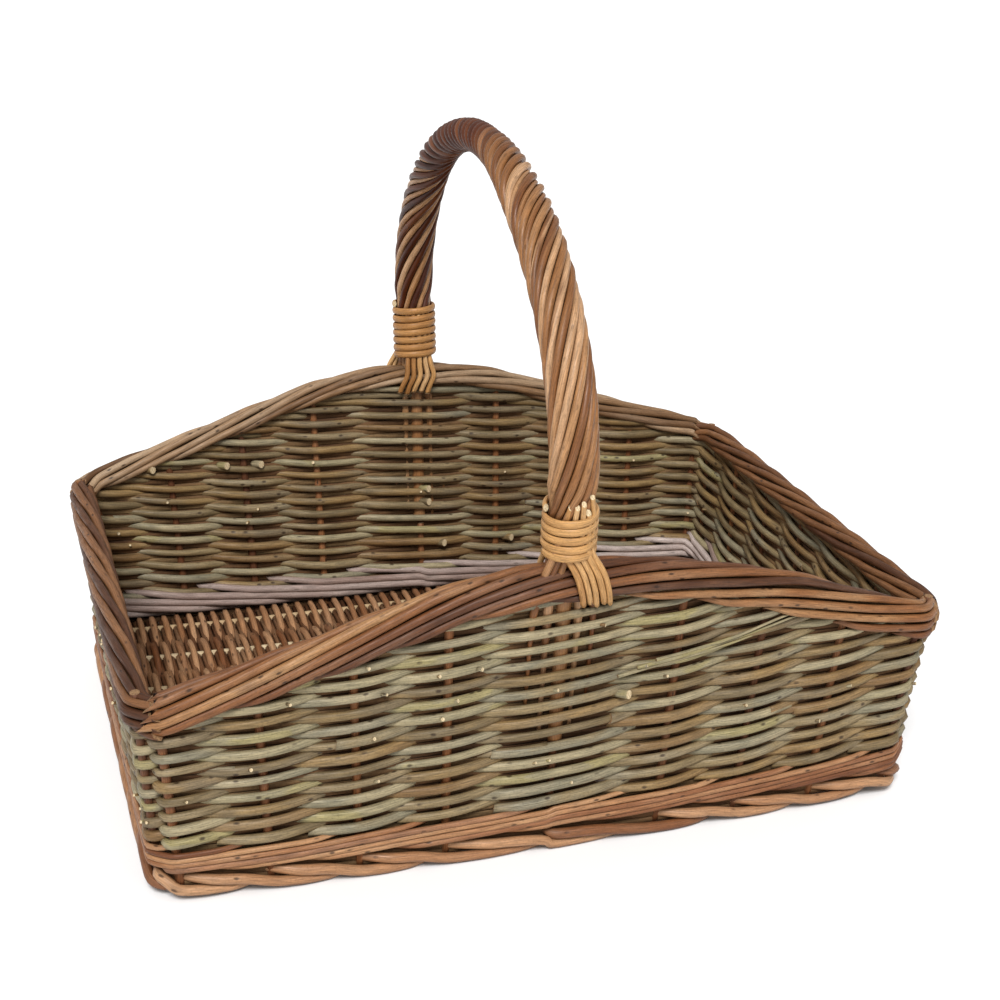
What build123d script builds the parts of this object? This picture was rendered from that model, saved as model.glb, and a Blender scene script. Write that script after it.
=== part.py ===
from build123d import *
import os
from math import asin, atan, atan2, cos, hypot, pi, radians, sin, sqrt, tan

# A rectangular garden trug of woven willow, rod by rod. X runs along its length,
# the front long side faces -Y, and the origin is the middle of the underside.

# Overall sizes
rim_length = 500.0
rim_width = 372.0
foot_length = 480.0
foot_width = 342.0
corner_height = 131.0
arch_height = 195.0
arch_bend = 295.0
handle_height = 405.0

# Rod thicknesses, and the room left between rods that pass each other
stake = 6.0
weaver = 4.6
wale_rod = 5.2
border_rod = 6.2
foot_rod = 6.0
base_stick = 7.0
base_rod = 4.2
gap = 0.4

# Walls
corner_cut = 10.0
stake_foot = 3.0
centre_bay_share = 0.30
side_bays = 3
end_bays = 6
wale_rows = 4
weave_bend = 40.0
row_overhang = 4.0
least_row_end = 20.0
row_stop_short = 8.0

# Top border
side_column = 3
handle_opening = 16.0

# Foot border
foot_flat = 0.5
foot_start = 7.5
foot_reach_in = 3.0
foot_turn_out = 15.0
foot_bend = 30.0
high_run_share = 0.58
ramp_end_share = 0.94
low_run_share = 1.56

# Base
base_stick_count = 7
base_edge = 13.0
base_clear = 12.0
base_bend = 30.0

# Handle
handle_offset_front = 1.0
handle_offset_back = 7.0
bow_foot = 74.0
bow_thickness = 13.0
slype_thickness = 6.0
slype_below = 7.0
slype_rise = 6.0
leg_rise = 48.0
shoulder_up = 72.0
shoulder_in = 108.0
apex_core = 10.0
leg_core = 18.6
swell_length = 240.0
neck_length = 25.0
leg_rod = 4.6
leg_rod_foot = 92.0
strand = 4.2
strand_count = 7
leg_lay = 18.0
top_lay = 42.0
strand_step = 14.0
fine_steps = 6
bow_sections = 44

# Lashings and the rods that splay below them
lashing_rod = 4.4
lashing_pitch = 5.3
lashing_clear = 5.0
front_turns = 5
back_turns = 7
splay_rod = 3.0
splay_count = 5
splay_spacing = 4.1
splay_angle = 27.0
splay_shift = 11.0
splay_tail = 5.0
splay_bend = 8.0

os.makedirs("parts", exist_ok=True)

base_middle = base_clear + base_rod + gap + base_stick / 2

# The stake plane of each wall, and what stands out from it
foot_out = stake / 2 + gap + foot_rod
border_centre = stake / 2 + gap + border_rod / 2
border_out = border_centre + border_rod / 2
weave_offset = stake / 2 + gap + weaver / 2
wale_offset = stake / 2 + gap + wale_rod / 2
wale_inside = wale_offset + wale_rod / 2

end_foot_reach = foot_length / 2 - foot_out
end_slope = (rim_length / 2 - border_out - end_foot_reach) / corner_height
side_foot_reach = foot_width / 2 - foot_out
side_slope = (rim_width / 2 - border_out - side_foot_reach) / corner_height


def end_reach(z):
    return end_foot_reach + end_slope * z


def side_reach(z):
    return side_foot_reach + side_slope * z


# The arch of the long rims: a straight flank each side of a round top
flank_run = end_reach(corner_height)
flank_fall = arch_bend - (arch_height - corner_height)
flank = asin(arch_bend / hypot(flank_run, flank_fall)) - atan2(flank_fall, flank_run)
peak_height = arch_height + arch_bend * (1 / cos(flank) - 1)
round_half = arch_bend * sin(flank)


def arch_top(s):
    if abs(s) < round_half:
        return arch_height - arch_bend + sqrt(arch_bend**2 - s**2)
    return peak_height - abs(s) * tan(flank)


def arch_reach(height):
    """Half the width over which the arch is at least this high."""
    drop = arch_height - height
    if drop < 0:
        return 0.0
    if drop < arch_bend * (1 - cos(flank)):
        return sqrt(2 * arch_bend * drop - drop**2)
    return (peak_height - height) / tan(flank)


# Border rods, as places across the wall and down from the rim's top
column_spacing = border_rod + gap
top_drop = border_rod / 2
top_half = column_spacing / 2
column_start = top_drop + sqrt(column_spacing**2 - (border_centre - top_half) ** 2)
top_places = [(top_half, top_drop), (-top_half, top_drop)]
outer_places = [(border_centre, column_start + i * column_spacing) for i in range(side_column)]
inner_places = [(-border_centre, column_start + i * column_spacing) for i in range(side_column)]
border_depth = column_start + (side_column - 1) * column_spacing + border_rod / 2
border_low = arch_height - border_depth / cos(flank)
stake_drop = border_rod + gap + stake / 2 * tan(flank) + gap

# Heights of the foot border, the wale rows and the weave rows
foot_low = foot_rod / 2 - foot_flat
foot_high = foot_low + foot_rod + gap
foot_top = foot_high + foot_rod / 2
wale_pitch = wale_rod + gap
wale_heights = [foot_top + gap + wale_rod / 2 + j * wale_pitch for j in range(wale_rows)]
weave_pitch = weaver + gap
weave_start = wale_heights[-1] + wale_rod / 2 + gap + weaver / 2
row_room = weaver / 2 + gap + border_depth / cos(flank)
weave_rows = int((arch_height - row_room - weave_start) / weave_pitch) + 1
weave_heights = [weave_start + k * weave_pitch for k in range(weave_rows)]


def handle_x(y):
    """Where the handle's upright plane lies across the basket's length."""
    middle = (handle_offset_front + handle_offset_back) / 2
    return middle - (handle_offset_front - handle_offset_back) / 2 * y / side_reach(arch_height)


class Wall:
    """One wall, seen from outside: s runs to the right, n outward and z up."""

    def __init__(self, name, turn, first_stake, arched):
        self.name = name
        self.first_stake = first_stake
        self.arched = arched
        self.along = Vector(cos(radians(turn)), sin(radians(turn)), 0)
        self.out = Vector(sin(radians(turn)), -cos(radians(turn)), 0)
        self.slope = side_slope if arched else end_slope
        self.upright = cos(atan(self.slope))

    def reach(self, z):
        return side_reach(z) if self.arched else end_reach(z)

    def half(self, z):
        return (end_reach(z) if self.arched else side_reach(z)) - corner_cut

    def point(self, s, n, z):
        return self.along * s + self.out * (self.reach(z) + n) + Vector(0, 0, z)

    def level(self, z):
        return Plane(origin=(0, 0, z), x_dir=self.along, z_dir=(0, 0, 1))

    def level_point(self, s, n, z):
        return (s, -(self.reach(z) + n))

    def sloping(self, n):
        up = (self.out * self.slope + Vector(0, 0, 1)).normalized()
        return Plane(origin=self.out * (self.reach(0) + n), x_dir=self.along, z_dir=self.along.cross(up))

    def handle_s(self, z):
        y = self.out.Y * self.reach(z)
        return handle_x(y) * self.along.X

    def stake_shares(self):
        if not self.arched:
            return [2 * i / end_bays - 1 for i in range(1, end_bays)]
        step = (1 - centre_bay_share) / side_bays
        right = [centre_bay_share + step * i for i in range(side_bays)]
        return [-v for v in reversed(right)] + right

    def top(self, s):
        return arch_top(s) if self.arched else corner_height


walls = [
    Wall("front", 0, 0, True),
    Wall("right", 90, 9, False),
    Wall("back", 180, 16, True),
    Wall("left", 270, 25, False),
]
long_walls = [wall for wall in walls if wall.arched]

# The flat bunch that the handle's foot makes in the weave
leg_rod_place = bow_thickness / 2 + gap + leg_rod / 2
bunch_half = leg_rod_place + leg_rod


def bends_for(points, wanted):
    """A radius for each corner, no larger than its shorter run allows."""
    radii = []
    for a, b, c in zip(points, points[1:], points[2:]):
        a, b, c = Vector(*a), Vector(*b), Vector(*c)
        half_turn = radians((b - a).get_angle(c - b)) / 2
        run = min((b - a).length, (c - b).length)
        radii.append(min(wanted, 0.45 * run / tan(half_turn)))
    return radii


def rod(points, bend, thickness, plane=Plane.XY):
    """A round rod along straight runs joined by tangent arcs."""
    with BuildPart() as piece:
        with BuildLine(plane) as path:
            if len(points) == 2:
                Line(*points)
            else:
                FilletPolyline(*points, radius=bends_for(points, bend))
        with BuildSketch(Plane(origin=path.line @ 0, z_dir=path.line % 0)):
            Circle(thickness / 2)
        sweep(path=path.line)
    return piece.part


def stops_at(wall, z):
    """The left and right edge of each thing that a row passes, at this height."""
    half = wall.half(z)
    stops = [(share * half, share * half) for share in [-1] + wall.stake_shares() + [1]]
    if wall.arched:
        middle = wall.handle_s(z)
        half_width = bunch_half if z > bow_foot - weave_pitch else 0
        stops.append((middle - half_width, middle + half_width))
    return sorted(stops)


def woven_points(wall, z, inside, offset, limit):
    """A level row's route past the stakes, cut off at the limit each way."""
    corners = []
    for i, (left, right) in enumerate(stops_at(wall, z)):
        side = -1 if inside(wall.first_stake + i) else 1
        corners.append((left, side))
        if right > left:
            corners.append((right, side))
    corners.insert(0, (corners[0][0] - row_overhang, corners[0][1]))
    corners.append((corners[-1][0] + row_overhang, corners[-1][1]))
    kept = [corners[0]]
    for before, here, after in zip(corners, corners[1:], corners[2:]):
        if not before[1] == here[1] == after[1]:
            kept.append(here)
    kept.append(corners[-1])
    stand = [offset] * len(kept)
    for _ in range(8):
        route = [(s, side * n) for (s, side), n in zip(kept, stand)]
        for i, radius in enumerate(bends_for(route, weave_bend)):
            a, b, c = (Vector(*p) for p in route[i : i + 3])
            half_turn = radians((b - a).get_angle(c - b)) / 2
            stand[i + 1] = offset + radius * (1 / cos(half_turn) - 1)
        stand[0], stand[-1] = stand[1], stand[-2]
    route = [(s, side * n) for (s, side), n in zip(kept, stand)]
    if limit is None:
        return route
    return cut_route(route, limit)


def cut_route(route, limit):
    """Keeps what lies within the limit, ending each end partway along a run."""
    right = cut_end(route, limit)
    left = cut_end([(-s, n) for s, n in reversed(right)], limit)
    return [(-s, n) for s, n in reversed(left)]


def cut_end(route, limit):
    last = max(i for i, (s, n) in enumerate(route) if s < limit)
    end = limit
    if limit - route[last][0] < least_row_end:
        end = route[last][0] - row_stop_short
        last -= 1
    (s0, n0), (s1, n1) = route[last], route[last + 1]
    return route[: last + 1] + [(end, n0 + (n1 - n0) * (end - s0) / (s1 - s0))]


def level_row(wall, z, inside, offset, thickness, limit):
    route = woven_points(wall, z, inside, offset, limit)
    points = [wall.level_point(s, n, z) for s, n in route]
    return rod(points, weave_bend, thickness, wall.level(z))


def make_stakes(wall):
    """Upright rods from the foot to just under the border."""
    rods = []
    for share in wall.stake_shares():
        top = wall.top(share * wall.half(corner_height)) - stake_drop
        low = wall.point(share * wall.half(stake_foot), 0, stake_foot)
        rods.append(rod([low, wall.point(share * wall.half(top), 0, top)], 0, stake))
    if wall.arched:
        top = bow_foot - gap
        low = wall.point(wall.handle_s(stake_foot), 0, stake_foot)
        rods.append(rod([low, wall.point(wall.handle_s(top), 0, top)], 0, stake))
    with BuildPart() as stakes:
        add(rods)
    return stakes.part


def make_corner_stakes():
    """Two stakes at each corner, one in each wall, either side of its small facet."""
    rods = []
    for wall in walls:
        for side in (-1, 1):
            top = corner_height - stake_drop
            low = wall.point(side * wall.half(stake_foot), 0, stake_foot)
            rods.append(rod([low, wall.point(side * wall.half(top), 0, top)], 0, stake))
    with BuildPart() as stakes:
        add(rods)
    return stakes.part


def make_wale(wall):
    """The band of heavier rods above the foot, each outside three stakes and inside one."""
    rods = []
    for j, z in enumerate(wale_heights):
        rods.append(level_row(wall, z, lambda i: (i + j) % 4 == 0, wale_offset, wale_rod, None))
    with BuildPart() as wale:
        add(rods)
    return wale.part


def make_weave(wall):
    """The green rows, in front of one stake and behind the next."""
    rods = []
    for k, z in enumerate(weave_heights):
        limit = None
        if not wall.arched and z + row_room > corner_height:
            continue
        if wall.arched and arch_reach(z + row_room) < wall.half(z) + row_overhang:
            limit = arch_reach(z + row_room)
            if limit < bunch_half + abs(wall.handle_s(z)) + least_row_end:
                continue
        rods.append(level_row(wall, z, lambda i: (i + k) % 2 == 1, weave_offset, weaver, limit))
    with BuildPart() as weave:
        add(rods)
    return weave.part


def make_long_border(wall):
    """Rods laid side by side round the arched rim, the top pair parted at the handle."""
    inner_end = end_reach(corner_height) - border_out - gap
    rods = []
    for n, drop in top_places + outer_places + inner_places:
        end = inner_end if n < -top_half else rim_length / 2
        drop = drop / cos(flank)
        ends = (peak_height - drop - end * tan(flank)) / wall.upright
        points = [(-end, ends), (0, (peak_height - drop) / wall.upright), (end, ends)]
        rods.append(rod(points, arch_bend, border_rod, wall.sloping(n)))
    middle = wall.point(wall.handle_s(arch_height), 0, arch_height)
    with BuildPart() as border:
        add(rods[:2])
        with Locations(Plane(origin=middle, x_dir=wall.along, z_dir=(0, 0, 1))):
            Box(2 * handle_opening, 4 * border_out, 4 * border_rod, mode=Mode.SUBTRACT)
        add(rods[2:])
    return border.part


def make_end_border(wall):
    """Straight rods laid side by side along the low end rim, between the long borders."""
    rods = []
    for n, drop in top_places + outer_places + inner_places:
        z = corner_height - drop
        if n > top_half:
            end = side_reach(z) + border_centre - border_rod / 2 - gap
        elif n < -top_half:
            end = side_reach(z) - stake / 2 - gap
        else:
            end = side_reach(z) - top_half - border_rod / 2 - gap
        rods.append(rod([wall.point(-end, n, z), wall.point(end, n, z)], 0, border_rod))
    with BuildPart() as border:
        add(rods)
    return border.part


def make_foot(wall):
    """Short heavy rods, each lying on the end of the one before, cut flat underneath."""
    n = stake / 2 + gap + foot_rod / 2
    stops = sorted(left / 2 + right / 2 for left, right in stops_at(wall, 0))
    edge = stops[-1] + row_overhang
    first_end = stops[0] + (low_run_share - 1) * (stops[1] - stops[0])
    rods = [rod([wall.point(-edge, n, foot_low), wall.point(first_end, n, foot_low)], 0, foot_rod)]
    for here, after in zip(stops, stops[1:]):
        bay = after - here
        points = [
            wall.point(here + foot_start, -foot_reach_in, foot_high),
            wall.point(here + foot_turn_out, n, foot_high),
            wall.point(here + high_run_share * bay, n, foot_high),
            wall.point(here + ramp_end_share * bay, n, foot_low),
            wall.point(min(here + low_run_share * bay, edge), n, foot_low),
        ]
        if points[-1] == points[-2]:
            points.pop()
        rods.append(rod([(p.X, p.Y, p.Z) for p in points], foot_bend, foot_rod))
    with BuildPart() as foot:
        add(rods)
        split(bisect_by=Plane.XY, keep=Keep.TOP)
    return foot.part


def make_base_sticks():
    """Thick sticks along the basket, held in the base weave."""
    reach = end_reach(base_middle) - wale_inside - gap
    edge = side_reach(base_middle) - wale_inside - base_edge
    rods = []
    for i in range(base_stick_count):
        y = edge * (2 * i / (base_stick_count - 1) - 1)
        rods.append(rod([(-reach, y, base_middle), (reach, y, base_middle)], 0, base_stick))
    with BuildPart() as sticks:
        add(rods)
    return sticks.part


def base_route(side):
    """Over and under the sticks, from one long wall to the other, in an upright plane."""
    edge = side_reach(base_middle) - wale_inside - base_edge
    reach = side_reach(base_middle) - wale_inside - gap
    offset = base_stick / 2 + gap + base_rod / 2
    places = [edge * (2 * i / (base_stick_count - 1) - 1) for i in range(base_stick_count)]
    sides = [side * (-1) ** i for i in range(base_stick_count)]
    stand = [offset] * base_stick_count
    for _ in range(8):
        ends = [(-reach, sides[0] * stand[0] / 2), (reach, sides[-1] * stand[-1] / 2)]
        route = [ends[0]] + [(y, v * n) for y, v, n in zip(places, sides, stand)] + [ends[1]]
        for i, radius in enumerate(bends_for(route, base_bend)):
            a, b, c = (Vector(*p) for p in route[i : i + 3])
            half_turn = radians((b - a).get_angle(c - b)) / 2
            stand[i] = offset + radius * (1 / cos(half_turn) - 1)
    return route


def make_base_weave():
    """Rods across the basket, alternately over and under the sticks."""
    reach = end_reach(base_middle) - wale_inside - base_rod
    pitch = base_rod + gap
    count = int(2 * reach / pitch) + 1
    rods = []
    for side in (-1, 1):
        strand_plane = Plane(origin=(0, 0, base_middle), x_dir=(0, 1, 0), z_dir=(1, 0, 0))
        rods.append(rod(base_route(side), base_bend, base_rod, strand_plane))
    with BuildPart() as weave:
        for i, piece in enumerate(rods):
            places = [((j - (count - 1) / 2) * pitch, 0, 0) for j in range(count) if j % 2 == i]
            with Locations(*places):
                add(piece)
    return weave.part


# The handle's upright plane, with h towards the front foot and z up
handle_span = Vector(handle_offset_front - handle_offset_back, -2 * side_reach(arch_height), 0)
handle_toward = handle_span.normalized()
handle_across = handle_toward.cross(Vector(0, 0, 1))
handle_middle = Vector(handle_x(0), 0, 0)
handle_stretch = 1 / abs(handle_toward.Y)

# The middle line of one half of the bow, as steps from the apex down to its spring
leg_spring = arch_height + leg_rise
apex_height = handle_height - apex_core / 2 - gap - strand
spring_half = side_reach(leg_spring) * handle_stretch
lean = atan(side_slope)
bow_steps = 240


def bow_curve(share):
    """The half bow as one smooth curve, from the apex at 0 to its spring at 1."""
    shoulder_half = spring_half + shoulder_up * sin(lean)
    shoulder_height = leg_spring + shoulder_up * cos(lean)
    h = 3 * share * (1 - share) ** 2 * shoulder_in
    h += 3 * share**2 * (1 - share) * shoulder_half + share**3 * spring_half
    z = (1 - share) ** 3 * apex_height + 3 * share * (1 - share) ** 2 * apex_height
    z += 3 * share**2 * (1 - share) * shoulder_height + share**3 * leg_spring
    return h, z


bow_points = [bow_curve(i / bow_steps) for i in range(bow_steps + 1)]
bow_lengths = [0.0]
for before, after in zip(bow_points, bow_points[1:]):
    bow_lengths.append(bow_lengths[-1] + hypot(after[0] - before[0], after[1] - before[1]))
spring_length = bow_lengths[-1]


def bow_at(length):
    """The bow's middle point and direction, a length along it from the apex to the front."""
    run = abs(length)
    if run >= spring_length:
        extra = run - spring_length
        h = spring_half - extra * sin(lean)
        z = leg_spring - extra * cos(lean)
        dh, dz = -sin(lean), -cos(lean)
    else:
        i = max(j for j in range(bow_steps) if bow_lengths[j] <= run)
        share = (run - bow_lengths[i]) / (bow_lengths[i + 1] - bow_lengths[i])
        h, z = bow_curve((i + share) / bow_steps)
        ahead = bow_curve((i + share + 0.5) / bow_steps)
        behind = bow_curve(max(i + share - 0.5, 0) / bow_steps)
        size = hypot(ahead[0] - behind[0], ahead[1] - behind[1])
        dh, dz = (ahead[0] - behind[0]) / size, (ahead[1] - behind[1]) / size
    if length < 0:
        return handle_middle - handle_toward * h + Vector(0, 0, z), handle_toward * dh - Vector(0, 0, dz)
    return handle_middle + handle_toward * h + Vector(0, 0, z), handle_toward * dh + Vector(0, 0, dz)


def length_at(z):
    """How far down the straight leg this height lies."""
    return spring_length + (leg_spring - z) / cos(lean)


def ease(share):
    return (1 - cos(pi * min(max(share, 0), 1))) / 2


def lashing_top(turns):
    return arch_height + lashing_clear + turns * lashing_pitch + lashing_rod


def swell_end(side):
    turns = front_turns if side > 0 else back_turns
    return length_at(lashing_top(turns)) - neck_length


def core_radius(length):
    """Thin at the apex, swelling down the legs, and drawn in under the lashings."""
    swell = apex_core / 2 + (leg_core - apex_core) / 2 * ease(abs(length) / swell_length)
    draw = ease((abs(length) - swell_end(1 if length > 0 else -1)) / neck_length)
    return swell + (bow_thickness / 2 - swell) * draw


def strand_lay(length):
    share = 1 - ease(abs(length) / swell_length)
    return tan(radians(leg_lay)) + (tan(radians(top_lay)) - tan(radians(leg_lay))) * share


def roping_radius(length):
    return core_radius(length) + gap + strand / 2


# The handle's straight legs carry the lashings, with cut ends meeting halfway up each
bow_half = bow_thickness / 2
ring_of_splays = bow_half + gap + splay_rod / 2
lashing_half = bow_half + gap + max(leg_rod, strand) + gap + lashing_rod / 2


def turns_on(wall):
    return front_turns if wall.out.Y < 0 else back_turns


def rods_meet(wall):
    """The height, inside the lashing, where the roping ends and the lower rods begin."""
    return arch_height + lashing_clear + turns_on(wall) * lashing_pitch / 2


def foot_point(wall, s, n, z):
    return wall.point(wall.handle_s(z) + s, n, z)


def make_bow():
    """The carrying rod, round in its run and cut thin where it goes down into the walls."""
    low = length_at(bow_foot)
    stations = [low * (2 * i / bow_sections - 1) for i in range(bow_sections + 1)]
    with BuildPart() as bow:
        for length in stations:
            point, direction = bow_at(length)
            with BuildSketch(Plane(origin=point, x_dir=handle_across, z_dir=direction)):
                Circle(core_radius(length))
        loft(ruled=True)
        for wall in long_walls:
            start = arch_height - slype_below
            side_view = Plane(origin=foot_point(wall, 0, 0, 0), x_dir=wall.out, z_dir=wall.along * -1)
            for side in (-1, 1):
                thin = side * slype_thickness / 2
                wide = side * bow_thickness
                profile = [(thin, 0), (thin, start), (side * bow_half, start + slype_rise)]
                profile += [(wide, start + slype_rise), (wide, 0)]
                with BuildSketch(side_view):
                    Polygon(*[(n + wall.slope * z, z) for n, z in profile], align=None)
                extrude(amount=bow_thickness, both=True, mode=Mode.SUBTRACT)
    return bow.part


def middle_of_biarc(start, toward, end, onward):
    """Where two arcs that leave one point and reach the next in given directions meet."""
    chord = end - start
    both = toward + onward
    spread = 2 * (1 - toward.dot(onward))
    along = chord.dot(both)
    if spread < 1e-9:
        reach = chord.dot(chord) / (2 * along)
    else:
        reach = (-along + sqrt(along**2 + spread * chord.dot(chord))) / spread
    first, second = start + toward * reach, end - onward * reach
    return (first + second) * 0.5, (second - first).normalized()


def wound_rod(points, directions, thickness):
    """A round rod through points in space, two tangent arcs between each pair."""
    with BuildPart() as piece:
        with BuildLine() as path:
            for i in range(len(points) - 1):
                start, end = points[i], points[i + 1]
                middle, through = middle_of_biarc(start, directions[i], end, directions[i + 1])
                TangentArc(start, middle, tangent=directions[i])
                TangentArc(middle, end, tangent=through)
        with BuildSketch(Plane(origin=points[0], z_dir=directions[0])):
            Circle(thickness / 2)
        sweep(path=path.wire())
    return piece.part


def roping_stations(low, high):
    """Lengths along the bow, each with how far round it the roping has turned."""
    count = round((high - low) / strand_step)
    step = (high - low) / (count * fine_steps)
    stations = [(low, 0.0)]
    angle = 0.0
    for i in range(1, count * fine_steps + 1):
        middle = low + (i - 0.5) * step
        angle += step * strand_lay(middle) / roping_radius(middle)
        if i % fine_steps == 0:
            stations.append((low + i * step, angle))
    return stations


def roping_point(length, angle):
    point, direction = bow_at(length)
    outward = direction.cross(handle_across)
    return point + (handle_across * cos(angle) + outward * sin(angle)) * roping_radius(length)


def roping_direction(length, angle):
    nudge = strand / 100
    turn = nudge * strand_lay(length) / roping_radius(length)
    ahead = roping_point(length + nudge, angle + turn)
    return (ahead - roping_point(length - nudge, angle - turn)).normalized()


def roping_rod(stations, start_angle):
    places = [(length, angle + start_angle) for length, angle in stations]
    points = [roping_point(*place) for place in places]
    return wound_rod(points, [roping_direction(*place) for place in places], strand)


front, back = long_walls
roping_low = -length_at(rods_meet(back) + gap)
roping_high = length_at(rods_meet(front) + gap)
roping_line = roping_stations(roping_low, roping_high)


def make_roping():
    """Rods twisted round the bow from one lashing to the other."""
    rods = [roping_rod(roping_line, 2 * pi * i / strand_count) for i in range(strand_count)]
    with BuildPart() as roping:
        add(rods)
    return roping.part


def has_room(length):
    """Whether a second rod fits between each two of the roping here."""
    spacing = 2 * pi * roping_radius(length) / strand_count * cos(atan(strand_lay(length)))
    return spacing > 2 * (strand + gap)


def make_leg_fillers(side):
    """Short rods that lie between the roping where a leg is thickest."""
    fine = [(length, angle) for length, angle in roping_line if length * side > 0 and has_room(length)]
    rods = [roping_rod(fine, 2 * pi * (i + 0.5) / strand_count) for i in range(strand_count)]
    with BuildPart() as fillers:
        add(rods)
    return fillers.part


def lashing_place(wall, angle):
    """Where the lashing's middle line is, and its direction, at an angle wound so far."""
    z = arch_height + lashing_clear + lashing_rod / 2
    sign = 1 if wall is front else -1
    axis_point, direction = bow_at(sign * length_at(z))
    up = direction * -sign
    outward = up.cross(handle_across)
    climb = lashing_pitch / (2 * pi)
    round_it = handle_across * cos(angle) + outward * sin(angle)
    point = axis_point + up * (climb * angle) + round_it * lashing_half
    ahead = outward * cos(angle) - handle_across * sin(angle)
    return point, (up * climb + ahead * lashing_half).normalized()


def make_lashing(wall):
    """One rod wound round the leg, in quarter turns of two arcs each."""
    turns = turns_on(wall)
    places = [lashing_place(wall, i * pi / 2) for i in range(4 * turns + 1)]
    dense = [lashing_place(wall, i * pi / 36)[0] for i in range(72 * turns + 1)]
    apart = min((a - b).length for i, a in enumerate(dense) for b in dense[i + 36 :])
    print(f"lashing_{wall.name}: {turns} turns, least gap to itself {apart - lashing_rod:.2f} mm")
    with BuildPart() as lashing:
        add(wound_rod([p for p, _ in places], [d for _, d in places], lashing_rod))
    return lashing.part


def make_leg_rods(wall):
    """A rod each side of the bow's foot, from the lashing down into the weave."""
    rods = []
    for side in (-1, 1):
        s = side * leg_rod_place
        top = rods_meet(wall) - gap
        rods.append(rod([foot_point(wall, s, 0, leg_rod_foot), foot_point(wall, s, 0, top)], 0, leg_rod))
    with BuildPart() as legs:
        add(rods)
    return legs.part


def make_splay(wall, side):
    """Thin rods from under the lashing, over the border and in against the weave."""
    over = side * (border_out + gap + splay_rod / 2)
    against = side * (weave_offset + weaver / 2 + gap + splay_rod / 2)
    rods = []
    for j in range(splay_count):
        from_middle = j - (splay_count - 1) / 2
        angle = radians(splay_angle * from_middle)
        s, n = ring_of_splays * sin(angle), side * ring_of_splays * cos(angle)
        low_s = splay_shift + splay_spacing * from_middle
        points = [
            foot_point(wall, s, n, rods_meet(wall) - gap),
            foot_point(wall, s, n, arch_height + lashing_clear),
            foot_point(wall, low_s - splay_shift / 2, over, arch_height - column_start / 2),
            foot_point(wall, low_s, over, border_low),
            foot_point(wall, low_s + splay_rod / 2, against, border_low - splay_tail),
        ]
        rods.append(rod([(p.X, p.Y, p.Z) for p in points], splay_bend, splay_rod))
    with BuildPart() as splay:
        add(rods)
    return splay.part


pieces = {
    "base_sticks": make_base_sticks(),
    "base_weave": make_base_weave(),
    "corner_stakes": make_corner_stakes(),
    "handle_bow": make_bow(),
    "handle_roping": make_roping(),
    "leg_fillers_front": make_leg_fillers(1),
    "leg_fillers_back": make_leg_fillers(-1),
}
for wall in walls:
    pieces[f"stakes_{wall.name}"] = make_stakes(wall)
    pieces[f"wale_{wall.name}"] = make_wale(wall)
    pieces[f"weave_{wall.name}"] = make_weave(wall)
    pieces[f"border_{wall.name}"] = make_long_border(wall) if wall.arched else make_end_border(wall)
    pieces[f"foot_{wall.name}"] = make_foot(wall)
for wall in long_walls:
    pieces[f"lashing_{wall.name}"] = make_lashing(wall)
    pieces[f"leg_rods_{wall.name}"] = make_leg_rods(wall)
    pieces[f"splay_outside_{wall.name}"] = make_splay(wall, 1)
    pieces[f"splay_inside_{wall.name}"] = make_splay(wall, -1)

for name, piece in pieces.items():
    piece.label = name
    export_step(piece, f"parts/{name}.step")
    print(name, len(piece.solids()), "solids")
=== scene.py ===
# %% [markdown]
# # A willow garden trug, rod by rod
#
# The basket is woven from round willow rods. Each rod here is a tube along its own
# path, and many rods of one kind are gathered into one mesh. Sizes are written in
# millimetres and turned into metres when a mesh is made.

# %% Load the frame and note its box
import bpy
import numpy as np
from mathutils import Matrix, Vector


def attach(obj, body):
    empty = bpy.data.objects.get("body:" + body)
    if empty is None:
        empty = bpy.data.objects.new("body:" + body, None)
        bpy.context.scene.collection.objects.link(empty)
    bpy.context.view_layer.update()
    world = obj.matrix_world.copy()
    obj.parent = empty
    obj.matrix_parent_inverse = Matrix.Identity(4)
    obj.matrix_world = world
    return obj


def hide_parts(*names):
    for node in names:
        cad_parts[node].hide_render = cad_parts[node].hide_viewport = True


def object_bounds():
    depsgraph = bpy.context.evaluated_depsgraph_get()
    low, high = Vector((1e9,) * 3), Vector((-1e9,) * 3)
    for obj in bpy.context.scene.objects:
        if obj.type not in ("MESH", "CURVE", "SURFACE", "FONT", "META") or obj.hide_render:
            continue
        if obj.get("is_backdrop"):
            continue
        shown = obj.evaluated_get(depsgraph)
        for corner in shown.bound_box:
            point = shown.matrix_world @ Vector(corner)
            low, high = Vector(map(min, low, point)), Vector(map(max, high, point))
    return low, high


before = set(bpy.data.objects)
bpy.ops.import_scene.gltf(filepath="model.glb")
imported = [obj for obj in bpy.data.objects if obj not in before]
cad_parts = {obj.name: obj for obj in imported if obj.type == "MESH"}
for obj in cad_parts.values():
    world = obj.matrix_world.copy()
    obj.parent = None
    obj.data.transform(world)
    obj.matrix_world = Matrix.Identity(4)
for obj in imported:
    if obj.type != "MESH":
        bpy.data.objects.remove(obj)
cad_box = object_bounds()
print("solid model's box in metres:", [[round(v, 3) for v in corner] for corner in cad_box])

# %% [markdown]
# ## The camera
#
# Its place was worked out from the corners of the rim and of the foot, and from the
# handle's outline. It looks down 21 degrees, from 17 degrees to the left of the front.

# %% Place the camera
VIEW_TURN, VIEW_DOWN, VIEW_ROLL = -0.3053, 0.3739, 0.0175
DISTANCE, AIM_HEIGHT = 1.1993, 0.100
ASIDE, UPWARD = 0.0158, 0.0545
LENS = 65.0


def add_object(name, data):
    """A new object in the scene, at the origin, made from a mesh, a lamp or a camera."""
    made = bpy.data.objects.new(name, data)
    bpy.context.scene.collection.objects.link(made)
    return made


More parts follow.
